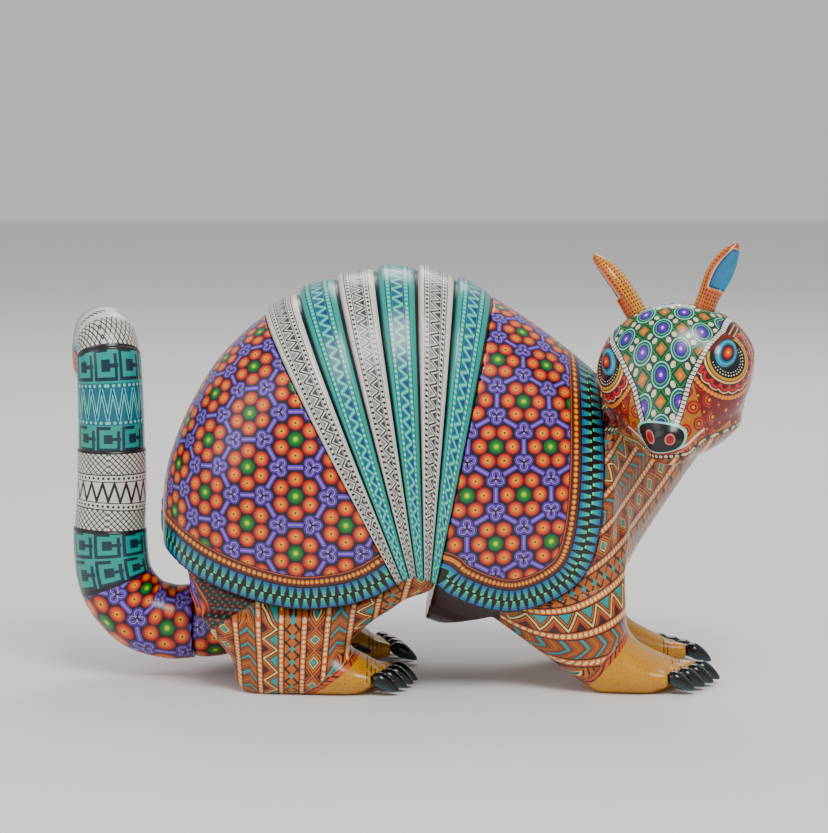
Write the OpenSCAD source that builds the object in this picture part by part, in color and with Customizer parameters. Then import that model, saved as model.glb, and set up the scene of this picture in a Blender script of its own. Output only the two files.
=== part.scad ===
// Carved and painted armadillo figure, built from glued wooden blocks with a plug-in tail and ears.
// Frame: +X towards the front, +Y to the animal's left, +Z up; z = 0 is the ground under the feet.

/* [Shell] */
// Length of the shell from rump to collar
shell_len = 218; // [190:1:262]
// Width of the shell
shell_w = 128; // [112:1:154]
// Height of the back above the ground
back_h = 205; // [180:1:246]
// Step from the shell's rim in to the body under it
rim_step = 3; // [2:0.1:4]
// Number of carved bands across the back
band_count = 6; // [4:1:8]
// Height of each band's lip
band_relief = 2.6; // [1.6:0.1:3.4]

/* [Legs] */
// Height of the joint between the hind legs and the body
hip_z = 39; // [36:0.5:41]
// Distance from the centre to the inside of a hind leg
leg_gap = 20; // [19.5:0.5:22]
// Distance from the centre to the outside of a foot
foot_out = 57; // [52:1:62]
// Length of a front foot from the wrist to its toes
forefoot_len = 45; // [38:1:54]
// Length of a hind foot from heel to toes
hindfoot_len = 70; // [60:1:84]
// Width of one toe
toe_w = 9; // [7.5:0.1:9.4]
// Length of a claw outside its toe
claw_len = 13; // [10.5:0.5:16]
// Diameter of a claw at its toe
claw_d = 7.8; // [6.5:0.1:8.4]

/* [Neck and head] */
// Distance from the shell's front edge forward to the middle of the head
neck_reach = 36; // [32:1:43]
// Height of the middle of the head above the ground
head_z = 160; // [150:1:176]
// How far the head is carried to the animal's right
head_side = 40; // [34:1:46]
// Width of the skull across the cheeks
head_w = 78; // [72:1:90]
// Height of the skull
head_h = 76; // [70:1:88]
// Distance from the middle of the head to the end of the nose
snout_len = 58; // [50:1:69]
// Diameter of the nose
nose_d = 21; // [17:1:25]
// Turn of the head to the animal's right
head_turn = 101; // [92:1:110]
// Nod of the head below level
head_nod = 28; // [20:1:34]
// Tilt of the head to one side
head_tilt = 6; // [0:1:10]

/* [Ears] */
// Length of an ear above the skull
ear_len = 29; // [24:1:35]
// Width of an ear at its widest
ear_w = 15; // [12.5:0.5:18]
// Wall left round the hollow of an ear
ear_wall = 1.8; // [1.4:0.1:2.2]
// Diameter of the peg under an ear
ear_peg_d = 6; // [5:0.1:7.2]
// Length of the peg under an ear
ear_peg_len = 9; // [7:0.5:11]

/* [Tail] */
// Diameter of the upright part of the tail
tail_d = 36; // [30:0.5:38]
// Distance from the shell's back end to the upright part of the tail
tail_reach = 26; // [22:1:31]
// Height of the top of the tail above the ground
tail_top = 187; // [165:1:224]
// Step between one tail ring and the next
tail_step = 1.2; // [0.8:0.1:1.6]
// Diameter of the tail's tenon
tail_tenon_d = 18; // [15:0.5:21]
// Length of the tail's tenon
tail_tenon_len = 24; // [20:1:28]

/* [Joinery] */
// Diameter of the hidden dowels
dowel_d = 8; // [6:0.5:9.6]
// Depth that a dowel goes into each block
dowel_depth = 14; // [11:1:17]
// Clearance round a dowel, a peg or a tenon in its hole
joint_fit = 0.08; // [0.05:0.01:0.1]

/* [Hidden] */

far = 3 * shell_len;   // longer than the figure, for cutting shapes
hole_end = 1;          // extra depth of a hole past the end of its dowel or peg
shell_back = -119;     // x of the rump
half_w = shell_w / 2;
figure_middle = [3.27, -11.51, 0];   // middle of the figure seen from above, which becomes the origin

// ---------- curves and skins ----------

function blend4(a, b, c, d, t) =
    0.5 * (2 * b + (c - a) * t + (2 * a - 5 * b + 4 * c - d) * t * t + (3 * b - a - 3 * c + d) * t * t * t);

// A smooth curve through rows of numbers, with the given number of steps between two rows.
function smooth(rows, steps) = [
    for (i = [0 : len(rows) - 2], s = [0 : steps - 1])
        blend4(rows[max(i - 1, 0)], rows[i], rows[i + 1], rows[min(i + 2, len(rows) - 1)], s / steps),
    rows[len(rows) - 1]];

// A rounded outline of half-size 1, squarer as e grows.
function round_outline(e, sides) = [
    for (k = [0 : sides - 1])
        let (c = cos(360 * k / sides), s = sin(360 * k / sides))
            [sign(c) * pow(abs(c), 2 / e), sign(s) * pow(abs(s), 2 / e)]];

function unit(v) = v / norm(v);

// A closed solid over a list of rings with equal numbers of points.
module skin(rings) {
    n = len(rings[0]);
    last = len(rings) - 1;
    side_faces = [
        for (i = [0 : last - 1], k = [0 : n - 1])
            let (a = i * n + k, b = i * n + (k + 1) % n, c = a + n, d = b + n)
                each [[a, c, d], [a, d, b]]];
    caps = [[for (k = [0 : n - 1]) k], [for (k = [n - 1 : -1 : 0]) last * n + k]];
    polyhedron([for (r = rings) each r], concat(side_faces, caps), convexity = 6);
}

// A ring that faces along a heading: row = [x, y, z, half width, half height, yaw, pitch].
function heading(yaw, pitch) = [cos(pitch) * cos(yaw), cos(pitch) * sin(yaw), sin(pitch)];
function facing_ring(row, sides, e = 2) =
    let (at = [row[0], row[1], row[2]], yaw = row[5], pitch = row[6],
         side = [-sin(yaw), cos(yaw), 0], up = cross(heading(yaw, pitch), side))
        [for (p = round_outline(e, sides)) at + side * row[3] * p[0] + up * row[4] * p[1]];

// ---------- side view of the shell ----------
// Points of the side view are [x, z], given as shares of the shell's length and the back's height.

function side_point(p) = [shell_back + p[0] * shell_len, p[1] * back_h];

rear_cut_foot = side_point([0.54, 0.276]);
rear_cut_top = side_point([0.243, 0.88]);
front_cut_foot = side_point([0.628, 0.273]);
front_cut_top = side_point([0.757, 0.93]);

// The point where the lines between the bands meet, below the belly.
fan_point =
    let (a = rear_cut_foot, d = rear_cut_top - rear_cut_foot,
         b = front_cut_foot, e = front_cut_top - front_cut_foot,
         t = ((b[0] - a[0]) * e[1] - (b[1] - a[1]) * e[0]) / (d[0] * e[1] - d[1] * e[0]))
        a + t * d;

function angle_of(v) = atan2(v[1], v[0]);
rear_angle = angle_of(rear_cut_top - fan_point);
front_angle = angle_of(front_cut_top - fan_point);
function fan_angle(s) = rear_angle + (front_angle - rear_angle) * s;
function fan_at(s, r) = fan_point + r * [cos(fan_angle(s)), sin(fan_angle(s))];

band_arch = 2;         // rise of the bands' lower edge between the two shells
function band_floor(s) =
    norm(rear_cut_foot - fan_point) * (1 - s) + norm(front_cut_foot - fan_point) * s
    + band_arch * 4 * s * (1 - s);

rear_rim = smooth([for (p = [
    [-0.06, 0.385], [0, 0.345], [0.087, 0.285], [0.202, 0.238],
    [0.317, 0.213], [0.422, 0.222], [0.491, 0.245], [0.54, 0.276]]) side_point(p)], 4);
rear_outline = concat(rear_rim, [fan_at(0, 2 * back_h), [-far, 2 * back_h], [-far, rear_rim[0][1]]]);

front_rim = smooth([for (p = [
    [0.628, 0.273], [0.658, 0.246], [0.729, 0.213], [0.80, 0.202],
    [0.876, 0.222], [0.945, 0.27], [0.982, 0.345], [1.0, 0.47],
    [1.002, 0.62], [0.99, 0.75], [0.95, 0.92]]) side_point(p)], 3);
front_outline = concat(front_rim, [[front_rim[len(front_rim) - 1][0], 2 * back_h], fan_at(1, 2 * back_h)]);

band_edge = [for (i = [0 : 6]) fan_at(i / 6, band_floor(i / 6))];

module through(outline) rotate([90, 0, 0]) linear_extrude(2 * far, center = true) polygon(outline);

// ---------- the shell's form ----------
// Sections of the shell: shares of its length, of the back's height for top and bottom, and of half_w.
shell_rows = [
    [0, 0.44, 0.35, 0.05], [0.008, 0.50, 0.27, 0.26], [0.026, 0.57, 0.20, 0.45], [0.066, 0.67, 0.14, 0.65],
    [0.134, 0.785, 0.10, 0.82], [0.225, 0.877, 0.06, 0.93], [0.335, 0.948, 0.04, 0.985],
    [0.463, 0.99, 0.04, 1], [0.592, 0.997, 0.04, 0.98], [0.702, 0.96, 0.04, 0.95],
    [0.812, 0.895, 0.05, 0.90], [0.913, 0.818, 0.07, 0.84], [1.005, 0.735, 0.10, 0.77],
    [1.08, 0.65, 0.15, 0.70]];
shell_widest = 0.4;    // height of the widest line, as a share of a section
shell_square = 2.25;   // squareness of a section
shell_sides = 40;      // points round a section
shell_sections = [for (r = smooth(shell_rows, 3))
    [shell_back + r[0] * shell_len, r[1] * back_h, r[2] * back_h, r[3] * half_w]];

function section_ring(x, top, bottom, half) =
    let (middle = bottom + shell_widest * (top - bottom))
        [for (p = round_outline(shell_square, shell_sides))
            [x, half * p[0], middle + p[1] * (p[1] > 0 ? top - middle : middle - bottom)]];

// The shell's form, taken in by a step all round.
module shell_form(step = 0) skin([for (r = shell_sections)
    section_ring(r[0], r[1] - step, r[2] + step, r[3] * (1 - step / half_w))]);

function shell_top(x) = lookup(x, [for (r = shell_sections) [r[0], r[1]]]);
function shell_bottom(x) = lookup(x, [for (r = shell_sections) [r[0], r[2]]]);
function shell_half(x) = lookup(x, [for (r = shell_sections) [r[0], r[3]]]);

// Half width of the shell at a point of the side view.
function shell_y(p) =
    let (t = shell_top(p[0]), b = shell_bottom(p[0]), m = b + shell_widest * (t - b),
         q = min(1, abs(p[1] - m) / (p[1] > m ? t - m : m - b)))
        shell_half(p[0]) * pow(1 - pow(q, shell_square), 1 / shell_square);

// Distance from the fan point to the back along one line of the fan, found by halving.
function fan_back(s, low, high, tries = 18) =
    let (mid = (low + high) / 2, p = fan_at(s, mid))
        tries == 0 ? mid
        : p[1] < shell_top(p[0]) ? fan_back(s, mid, high, tries - 1)
        : fan_back(s, low, mid, tries - 1);

// One section of the banded block: share s across the fan, raised by lift.
band_ring_steps = 15;
function band_ring(s, lift) =
    let (floor_r = band_floor(s), back_r = fan_back(s, floor_r, 1.5 * back_h),
         half_ring = [for (k = [0 : band_ring_steps])
             let (r = floor_r + (back_r - floor_r) * sin(90 * k / band_ring_steps),
                  y = k == band_ring_steps ? 0 : shell_y(fan_at(s, r)),
                  p = fan_at(s, floor_r + (r - floor_r) * (1 + lift / (back_r - floor_r))))
                 [p[0], y * (1 + lift / half_w), p[1]]])
        concat(half_ring, [for (k = [band_ring_steps - 1 : -1 : 0])
            [half_ring[k][0], -half_ring[k][1], half_ring[k][2]]]);

// Profile across one band: share of its width, share of the lip's height.
band_profile = [[0.02, -0.3], [0.08, 0.8], [0.22, 1], [0.5, 0.75], [0.82, 0.45], [0.96, -0.2]];

// ---------- dowels and pegs ----------

module rod(at, along, from, to, d) {
    a = unit(along);
    translate(at) rotate([0, acos(a[2]), atan2(a[1], a[0])]) translate([0, 0, from])
        cylinder(h = to - from, d = d, $fn = 32);
}

// Dowels at places given as [point, direction], or the holes for them.
module dowels(places) for (p = places) rod(p[0], p[1], -dowel_depth, dowel_depth, dowel_d);
module dowel_holes(places) for (p = places)
    rod(p[0], p[1], -dowel_depth - hole_end, dowel_depth + hole_end, dowel_d + 2 * joint_fit);

// The same places on both sides of the figure.
function both_sides(places) = [for (p = places, m = [1, -1])
    [[p[0][0], m * p[0][1], p[0][2]], [p[1][0], m * p[1][1], p[1][2]]]];

// A place on one of the fan's lines at a height above the ground, square to that line.
function cut_place(s, z, y) =
    let (a = fan_angle(s), p = fan_at(s, (z - fan_point[1]) / sin(a)))
        [[p[0], y, p[1]], [sin(a), 0, -cos(a)]];

rear_band_places = both_sides([cut_place(0, 0.6 * back_h, 0.35 * half_w)]);
front_band_places = both_sides([cut_place(1, 0.6 * back_h, 0.35 * half_w)]);

// ---------- legs ----------
// Rows of a leg's side view from its toes upwards:
// [top x, top z, bottom x, bottom z, inner y, outer y, sweep].
// x counts from the toes in foot lengths, and inner and outer y are shares of the leg's width.
// The sweep says how far the foot's outer side lies behind its inner side, in foot lengths.

leg_sides = 24;
function leg_ring(row) =
    let (top = [row[0], row[1]], bottom = [row[2], row[3]],
         middle = (top + bottom) / 2, half = (top - bottom) / 2,
         y_middle = (row[4] + row[5]) / 2, y_half = (row[5] - row[4]) / 2)
        [for (p = round_outline(2.3, leg_sides))
            [middle[0] + half[0] * p[1] - row[6] * (1 - p[0]) / 2, y_middle - y_half * p[0],
             middle[1] + half[1] * p[1]]];

hind_toe_x = -8;
hind_foot_w = foot_out - leg_gap;
hind_rows = [for (r = [
    [0, 12, 0, 1.5, 0.1, 0.92, 0.14], [-0.06, 16, -0.06, -1, 0.03, 0.97, 0.14],
    [-0.14, 19, -0.2, -1.5, 0, 1, 0.12], [-0.2, 21.5, -0.42, -1.5, 0.02, 0.98, 0.08],
    [-0.22, 24, -0.7, -1.5, 0.05, 0.95, 0.04], [-0.2, 27, -0.95, -1, 0.06, 0.93, 0],
    [-0.16, 30, -1.06, 6, 0.06, 0.92, 0], [-0.1, 33, -1.05, 14, 0.04, 0.92, 0],
    [-0.04, 36, -1.18, 25, 0.02, 0.93, 0], [0.02, hip_z, -1.32, hip_z, 0, 0.94, 0]])
    [hind_toe_x + r[0] * hindfoot_len, r[1], hind_toe_x + r[2] * hindfoot_len, r[3],
     leg_gap + r[4] * hind_foot_w, leg_gap + r[5] * hind_foot_w, r[6] * hindfoot_len]];

// The plane between a foreleg and the chest, from its back edge to its front edge.
shoulder_back = side_point([0.752, 0.176]);
shoulder_front = side_point([1.055, 0.275]);
function shoulder_z(x) =
    let (run = shoulder_front - shoulder_back) shoulder_back[1] + (x - shoulder_back[0]) * run[1] / run[0];

fore_toe_x = shell_back + 1.2 * shell_len;
fore_in = 3;           // how much closer together the front feet stand than the hind feet
forefoot_out = foot_out - fore_in;
fore_foot_w = foot_out - leg_gap;
fore_rows = concat([for (r = [
    [0, 11, 0, 1.5, 0.1, 0.92, 0.36], [-0.1, 15, -0.12, -1, 0.03, 0.97, 0.35],
    [-0.3, 19, -0.35, -1.5, 0, 1, 0.3], [-0.5, 24, -0.68, -1.5, 0.01, 0.99, 0.2],
    [-0.62, 30, -0.96, -1, 0.02, 0.98, 0.1], [-0.68, 36, -1.2, 5, 0.01, 0.98, 0.03],
    [-0.7, 44, -1.55, 16, 0, 0.98, 0]])
    [fore_toe_x + r[0] * forefoot_len, r[1], fore_toe_x + r[2] * forefoot_len, r[3],
     leg_gap - fore_in + r[4] * fore_foot_w, leg_gap - fore_in + r[5] * fore_foot_w, r[6] * forefoot_len]],
    [[shoulder_front[0], shoulder_front[1], shoulder_back[0], shoulder_back[1],
      leg_gap - fore_in, forefoot_out - 6, 0]]);

toe_count = 4;
function toe_y(i, out) = out - toe_w * (0.62 + i * 0.98);
toe_h = 7.6;           // height of the middle of a toe's end
toe_stub = 12;         // length of a toe back into the foot
toe_end = 4;           // length of a toe in front of the foot
toe_slope = 3.4;       // droop of a toe
toe_dir = [cos(toe_slope), 0, -sin(toe_slope)];
// How far each toe ends behind the longest one, counted from outside.
hind_toe_back = [9, 5, 2, 0];
fore_toe_back = [15, 9, 4, 0];

// The toes of one foot: round fingers with flat ends that carry the claws.
module toes(toe_x, out, back) for (i = [0 : toe_count - 1])
    rod([toe_x - back[i], toe_y(i, out), toe_h], toe_dir, -toe_stub, toe_end, toe_w);

claw_pin_d = 3;
claw_pin_len = 4;
module claw_pins(toe_x, out, back, fit, extra) for (i = [0 : toe_count - 1])
    rod([toe_x - back[i], toe_y(i, out), toe_h], toe_dir,
        toe_end - claw_pin_len - extra, toe_end + 0.1 * extra, claw_pin_d + 2 * fit);

// One curved claw, lying along +X from its flat root at the origin.
claw_rows = [[0, 0, 0.5], [0.3, 0.0, 0.5], [0.6, -0.12, 0.42], [0.85, -0.3, 0.26], [1, -0.45, 0.06]];
claw_sides = 12;
module claw_shape() skin([for (r = smooth(claw_rows, 2))
    [for (k = [0 : claw_sides - 1])
        let (a = 360 * k / claw_sides)
            [claw_len * r[0], claw_d * r[2] * cos(a), claw_len * r[1] * 0.8 + claw_d * r[2] * sin(a)]]]);

module claws(toe_x, out, back) {
    claw_pins(toe_x, out, back, 0, 0);
    for (i = [0 : toe_count - 1])
        translate([toe_x - back[i], toe_y(i, out), toe_h]) rotate([0, toe_slope, 0])
            translate([toe_end, 0, 0]) claw_shape();
}

module leg(rows, toe_x, out, back, place) difference() {
    union() {
        skin([for (r = smooth(rows, 2)) leg_ring(r)]);
        toes(toe_x, out, back);
    }
    claw_pins(toe_x, out, back, joint_fit, hole_end);
    dowel_holes([place]);
    translate([-far, -far, -far]) cube([2 * far, 2 * far, far]);
}

hind_place = [[hind_toe_x - 0.65 * hindfoot_len, leg_gap + 0.45 * hind_foot_w, hip_z], [0, 0, 1]];
hip_slab = lookup(hind_place[0][0], rear_rim) - hip_z;   // thickness of the body between a leg and the shell
// The dowels of both hips, which go through the body into the shell.
module hip_rods(from, to, d) for (p = both_sides([hind_place])) rod(p[0], p[1], from, hip_slab + to, d);

shoulder_dir = unit([-(shoulder_front[1] - shoulder_back[1]), 0, shoulder_front[0] - shoulder_back[0]]);
fore_place_x = 0.6 * shoulder_front[0] + 0.4 * shoulder_back[0];
fore_place = [[fore_place_x, 0.56 * half_w, shoulder_z(fore_place_x)], shoulder_dir];

// ---------- head, neck and ears ----------

head_at = [shell_back + shell_len + neck_reach, -head_side, head_z];

// The head's own frame: x to the nose, y to its left, z to its crown.
function turned(p, tilt, nod, yaw) =
    let (a = [p[0], p[1] * cos(tilt) - p[2] * sin(tilt), p[1] * sin(tilt) + p[2] * cos(tilt)],
         b = [a[0] * cos(nod) + a[2] * sin(nod), a[1], -a[0] * sin(nod) + a[2] * cos(nod)])
        [b[0] * cos(yaw) - b[1] * sin(yaw), b[0] * sin(yaw) + b[1] * cos(yaw), b[2]];
function from_head(p) = head_at + turned(p, head_tilt, head_nod, -head_turn);
module at_head() translate(head_at) rotate([head_tilt, head_nod, -head_turn]) children();

hw = head_w / 2;
hh = head_h / 2;
head_sides = 40;
// The flat joint between neck and head, in the head's frame.
head_seat = [-0.26 * hw, 0, -0.40 * hh, 0.86 * hw, 0.86 * hh, 24, 22];
head_rows = [
    head_seat,
    [-0.14 * hw, 0, -0.2 * hh, 0.95 * hw, 0.95 * hh, 13, 12],
    [0.04 * hw, 0, -0.04 * hh, hw, hh, 4, 3],
    [0.3 * hw, 0, -0.03 * hh, 0.99 * hw, 0.95 * hh, 0, 0],
    [0.40 * snout_len, 0, -0.08 * hh, 0.9 * hw, 0.84 * hh, 0, 0],
    [0.58 * snout_len, 0, -0.15 * hh, 0.7 * hw, 0.65 * hh, 0, 0],
    [0.76 * snout_len, 0, -0.21 * hh, 0.46 * hw, 0.44 * hh, 0, 0],
    [0.9 * snout_len, 0, -0.24 * hh, 0.58 * nose_d, 0.55 * nose_d, 0, 0],
    [0.97 * snout_len, 0, -0.24 * hh, 0.47 * nose_d, 0.44 * nose_d, 0, 0],
    [snout_len, 0, -0.25 * hh, 0.3 * nose_d, 0.27 * nose_d, 0, 0]];

seat_heading = turned(heading(head_seat[5], head_seat[6]), head_tilt, head_nod, -head_turn);
seat_point = from_head([head_seat[0], head_seat[1], head_seat[2]]);
seat_ring = [for (p = facing_ring(head_seat, head_sides)) from_head(p)];

// Rows of the neck, from inside the shell up to the seat of the head.
shell_front = shell_back + shell_len;
neck_base_rows = [
    [shell_front - 66, 0, 92, 0.93 * half_w - rim_step, 66, 0, -27],
    [shell_front - 44, 0, 84, 0.91 * half_w - rim_step, 66, 0, -24],
    [shell_front - 20, 0, 82, 0.88 * half_w - rim_step, 72, 0, -14],
    [shell_front + 1, 0, 84, 0.80 * half_w - rim_step, 72, 0, -2],
    [shell_front + 9, -1, 108, 0.70 * half_w, 56, -5, 4]];
neck_bend = [seat_point[0] - 11, seat_point[1] + 19, seat_point[2] - 15, 36, 39, -38, 10];
neck_open_rows = smooth(concat(neck_base_rows, [neck_bend,
    [seat_point[0] - 2, seat_point[1] + 5, seat_point[2] - 3, 0.87 * hw, 0.89 * hh, -66, 0]]), 3);
neck_rings = concat([for (r = neck_open_rows) facing_ring(r, head_sides)], [seat_ring]);

// The top of a foreleg, which runs up into the neck.
upper_arm_rows = [
    [shoulder_front[0] - 1, shoulder_front[1] - 6, shoulder_back[0] - 4, shoulder_back[1] - 6,
     leg_gap - fore_in, forefoot_out - 6, 0],
    [shoulder_front[0] + 2, 0.37 * back_h, shoulder_back[0] + 14, 0.33 * back_h,
     leg_gap - 6, 0.72 * half_w, 0],
    [shoulder_front[0] + 1, 0.5 * back_h, shoulder_back[0] + 24, 0.47 * back_h,
     leg_gap - 12, 0.58 * half_w, 0]];
module upper_arm() skin([for (r = smooth(upper_arm_rows, 3)) leg_ring(r)]);

neck_places = both_sides([[[shell_front - 1, 0.35 * half_w, 0.5 * back_h], [1, 0, 0]]]);

ear_foot = [-0.16 * hw, 0.44 * hw, 0.80 * hh];
ear_lean = [-0.49, 0.44, 0.75];
ear_socket_d = 0.72 * ear_w + 0.6;
// Rows of an ear along its own axis: shares of its length, half width, half thickness and shift.
ear_rows = [[0, 0.36, 0.36, 0], [0.19, 0.36, 0.36, 0], [0.36, 0.46, 0.36, 0.01], [0.54, 0.5, 0.36, 0.03],
    [0.72, 0.43, 0.32, 0.06], [0.88, 0.26, 0.22, 0.1], [1, 0.06, 0.06, 0.13]];
ear_sides = 24;
module ear_skin(grow, from, to, lift) skin([for (r = smooth(ear_rows, 3)) if (r[0] >= from && r[0] <= to)
    [for (p = round_outline(2, ear_sides))
        [(ear_w * r[1] + grow) * p[0], (ear_w * r[2] + grow) * p[1] + ear_len * r[3] + lift,
         (ear_len + ear_sink) * r[0]]]]);
ear_sink = 7;          // depth of the ear's seat below the crown
ear_open_from = 0.3;
ear_open_to = 0.89;

module at_ear(side) {
    lean = unit([ear_lean[0], side * ear_lean[1], ear_lean[2]]);
    at_head() translate([ear_foot[0], side * ear_foot[1], ear_foot[2]] - ear_sink / 3 * lean)
        rotate([0, acos(lean[2]), atan2(lean[1], lean[0])]) rotate([0, 0, -atan2(lean[1], lean[0])])
        mirror([0, side < 0 ? 1 : 0, 0]) children();
}

// How far each ear's hollow is turned from straight out towards the front.
ear_turn_left = 42;
ear_turn_right = 6;

module ear(side) at_ear(side) rotate([0, 0, side > 0 ? -ear_turn_left : -ear_turn_right]) difference() {
    union() {
        ear_skin(0, 0, 1, 0);
        translate([0, 0, -ear_peg_len]) cylinder(h = ear_peg_len + 1, d = ear_peg_d, $fn = 32);
    }
    ear_skin(-ear_wall, ear_open_from, ear_open_to, 0.22 * ear_w);
}

module ear_holes() for (side = [1, -1]) at_ear(side) {
    translate([0, 0, -ear_peg_len - hole_end])
        cylinder(h = ear_peg_len + 2 * hole_end, d = ear_peg_d + 2 * joint_fit, $fn = 32);
    cylinder(h = ear_len, d = ear_socket_d, $fn = 32);
}

// ---------- tail ----------
tail_joint_x = shell_back + 15;
tail_root_z = 27.5;
tail_x = shell_back - tail_reach;
tail_r = tail_d / 2;
// Points of the tail's middle line: x, y, z and radius as a share.
tail_line = smooth([
    [tail_joint_x, 0, tail_root_z, 1.03], [tail_joint_x - 12, 0, tail_root_z - 0.3, 1.05],
    [tail_x + 14, 0, tail_root_z + 5, 1.06], [tail_x + 2.5, 0, tail_root_z + 20, 1.05],
    [tail_x - 0.5, 0, tail_root_z + 42, 1.03], [tail_x + 0.5, 0, 0.5 * tail_top, 1],
    [tail_x + 0.7, 0, 0.62 * tail_top, 0.99], [tail_x + 0.5, 0, 0.74 * tail_top, 0.98],
    [tail_x - 0.5, 2, tail_top - 27, 0.96], [tail_x - 2.5, 9, tail_top - 17.5, 0.93],
    [tail_x - 6.5, 20, tail_top - 16, 0.84], [tail_x - 11, 31, tail_top - 20, 0.72],
    [tail_x - 15, 38, tail_top - 29, 0.58], [tail_x - 17, 41, tail_top - 38, 0.42],
    [tail_x - 17.5, 41.5, tail_top - 44, 0.16]], 4);
tail_sides = 24;
// Ends of the painted rings along the tail, as shares of the list of points, where the carving steps in.
tail_ring_ends = [15, 23, 29, 35];
function tail_radius(i, after) = tail_line[i][3] * tail_r
    - tail_step * len([for (e = tail_ring_ends) if (after ? i >= e : i > e) 1]) / 2;
function tail_point(i) = [tail_line[i][0], tail_line[i][1], tail_line[i][2]];
function tail_heading(i) = i == 0 ? [-1, 0, 0]
    : unit(tail_point(min(i + 1, len(tail_line) - 1)) - tail_point(i - 1));
function tail_ring(i, r) =
    let (t = tail_heading(i), flat = unit([-t[1] * t[0], 1 - t[1] * t[1], -t[1] * t[2]]), up = cross(t, flat))
        [for (k = [0 : tail_sides - 1]) let (a = 360 * k / tail_sides)
            tail_point(i) + r * (flat * cos(a) + up * sin(a))];
tail_rings = [for (i = [0 : len(tail_line) - 1]) each
    len([for (e = tail_ring_ends) if (i == e) 1]) > 0
        ? [tail_ring(i, tail_radius(i, false)),
           [for (p = tail_ring(i, tail_radius(i, true))) p + 0.4 * tail_heading(i)]]
        : [tail_ring(i, tail_radius(i, true))]];

// The hips' boss under the rump, which carries the tail.
boss_rows = [[tail_joint_x, 0, tail_root_z, 1, 1, 0, 0], [tail_joint_x + 14, 0, tail_root_z + 1, 1, 1, 0, 8],
    [tail_joint_x + 30, 0, tail_root_z + 9, 0.98, 0.95, 0, 22],
    [tail_joint_x + 48, 0, tail_root_z + 20, 0.9, 0.8, 0, 30]];
boss_r = tail_line[0][3] * tail_r;

// ---------- pieces ----------

module placed() translate(-figure_middle) children();
module to_right() mirror([0, 1, 0]) children();

module rear_shell_block() color("indigo") placed() difference() {
    intersection() {
        shell_form();
        through(rear_outline);
    }
    dowel_holes(rear_band_places);
    hip_rods(-dowel_depth - hole_end, dowel_depth + hole_end, dowel_d + 2 * joint_fit);
}

module banded_block() color("turquoise") placed() difference() {
    skin(concat(
        [band_ring(0, -0.3 * band_relief)],
        [for (b = [0 : band_count - 1], q = band_profile)
            band_ring((b + q[0]) / band_count, q[1] * band_relief)],
        [band_ring(1, -0.3 * band_relief)]));
    dowel_holes(rear_band_places);
    dowel_holes(front_band_places);
}

module front_shell_block() color("indigo") placed() difference() {
    intersection() {
        shell_form();
        through(front_outline);
    }
    dowel_holes(front_band_places);
    dowel_holes(neck_places);
    dowel_holes(both_sides([fore_place]));
}

// Side view of the underbody: under the rear shell and the bands, down to the hips.
belly_top_edge = concat([for (p = rear_rim) if (p[0] > tail_joint_x) p], [for (i = [1 : 6]) band_edge[i]]);
belly_low_edge = [
    fan_at(1, norm(front_cut_foot - fan_point) - 5), [hind_toe_x + 10, front_cut_foot[1] - 9],
    [hind_toe_x + 2, hip_z], [tail_joint_x, hip_z], [tail_joint_x, lookup(tail_joint_x, rear_rim)]];

module underbody() color("maroon") placed() difference() {
    union() {
        intersection() {
            shell_form(rim_step);
            through(concat(belly_top_edge, belly_low_edge));
        }
        difference() {
            skin([for (r = smooth(boss_rows, 3))
                facing_ring([r[0], r[1], r[2], r[3] * boss_r, r[4] * boss_r, r[5], r[6]], tail_sides)]);
            through(rear_outline);
        }
    }
    rod([tail_joint_x, 0, tail_root_z], [1, 0, 0],
        -1, tail_tenon_len + hole_end, tail_tenon_d + 2 * joint_fit);
    hip_rods(-dowel_depth - hole_end, dowel_depth + hole_end, dowel_d + 2 * joint_fit);
}

module neck() color("peru") placed() difference() {
    union() {
        skin(neck_rings);
        upper_arm();
        to_right() upper_arm();
    }
    through(front_outline);
    through([fan_at(1, -far), fan_at(1, far), [-far, far], [-far, -far]]);
    through([[-far, shoulder_z(-far)], [-far, -far], [far, -far], [far, shoulder_z(far)]]);
    dowel_holes(neck_places);
    dowel_holes(both_sides([fore_place]));
    dowel_holes([[seat_point, seat_heading]]);
}

module head() color("firebrick") placed() difference() {
    at_head() skin([
        facing_ring(head_rows[0], head_sides),
        for (r = smooth([for (i = [1 : len(head_rows) - 1]) head_rows[i]], 3)) facing_ring(r, head_sides)]);
    ear_holes();
    dowel_holes([[seat_point, seat_heading]]);
}

module ear_left() color("peru") placed() ear(1);
module ear_right() color("peru") placed() ear(-1);

module tail() color("teal") placed() {
    skin(tail_rings);
    rod([tail_joint_x, 0, tail_root_z], [1, 0, 0], -1, tail_tenon_len, tail_tenon_d);
}

module hind_leg() leg(hind_rows, hind_toe_x, foot_out, hind_toe_back, hind_place);
module fore_leg() leg(fore_rows, fore_toe_x, forefoot_out, fore_toe_back, fore_place);

module hindleg_left() color("peru") placed() hind_leg();
module hindleg_right() color("peru") placed() to_right() hind_leg();
module foreleg_left() color("peru") placed() fore_leg();
module foreleg_right() color("peru") placed() to_right() fore_leg();

module hind_claws_left() color("black") placed() claws(hind_toe_x, foot_out, hind_toe_back);
module hind_claws_right() color("black") placed() to_right() claws(hind_toe_x, foot_out, hind_toe_back);
module fore_claws_left() color("black") placed() claws(fore_toe_x, forefoot_out, fore_toe_back);
module fore_claws_right() color("black") placed() to_right() claws(fore_toe_x, forefoot_out, fore_toe_back);

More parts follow.
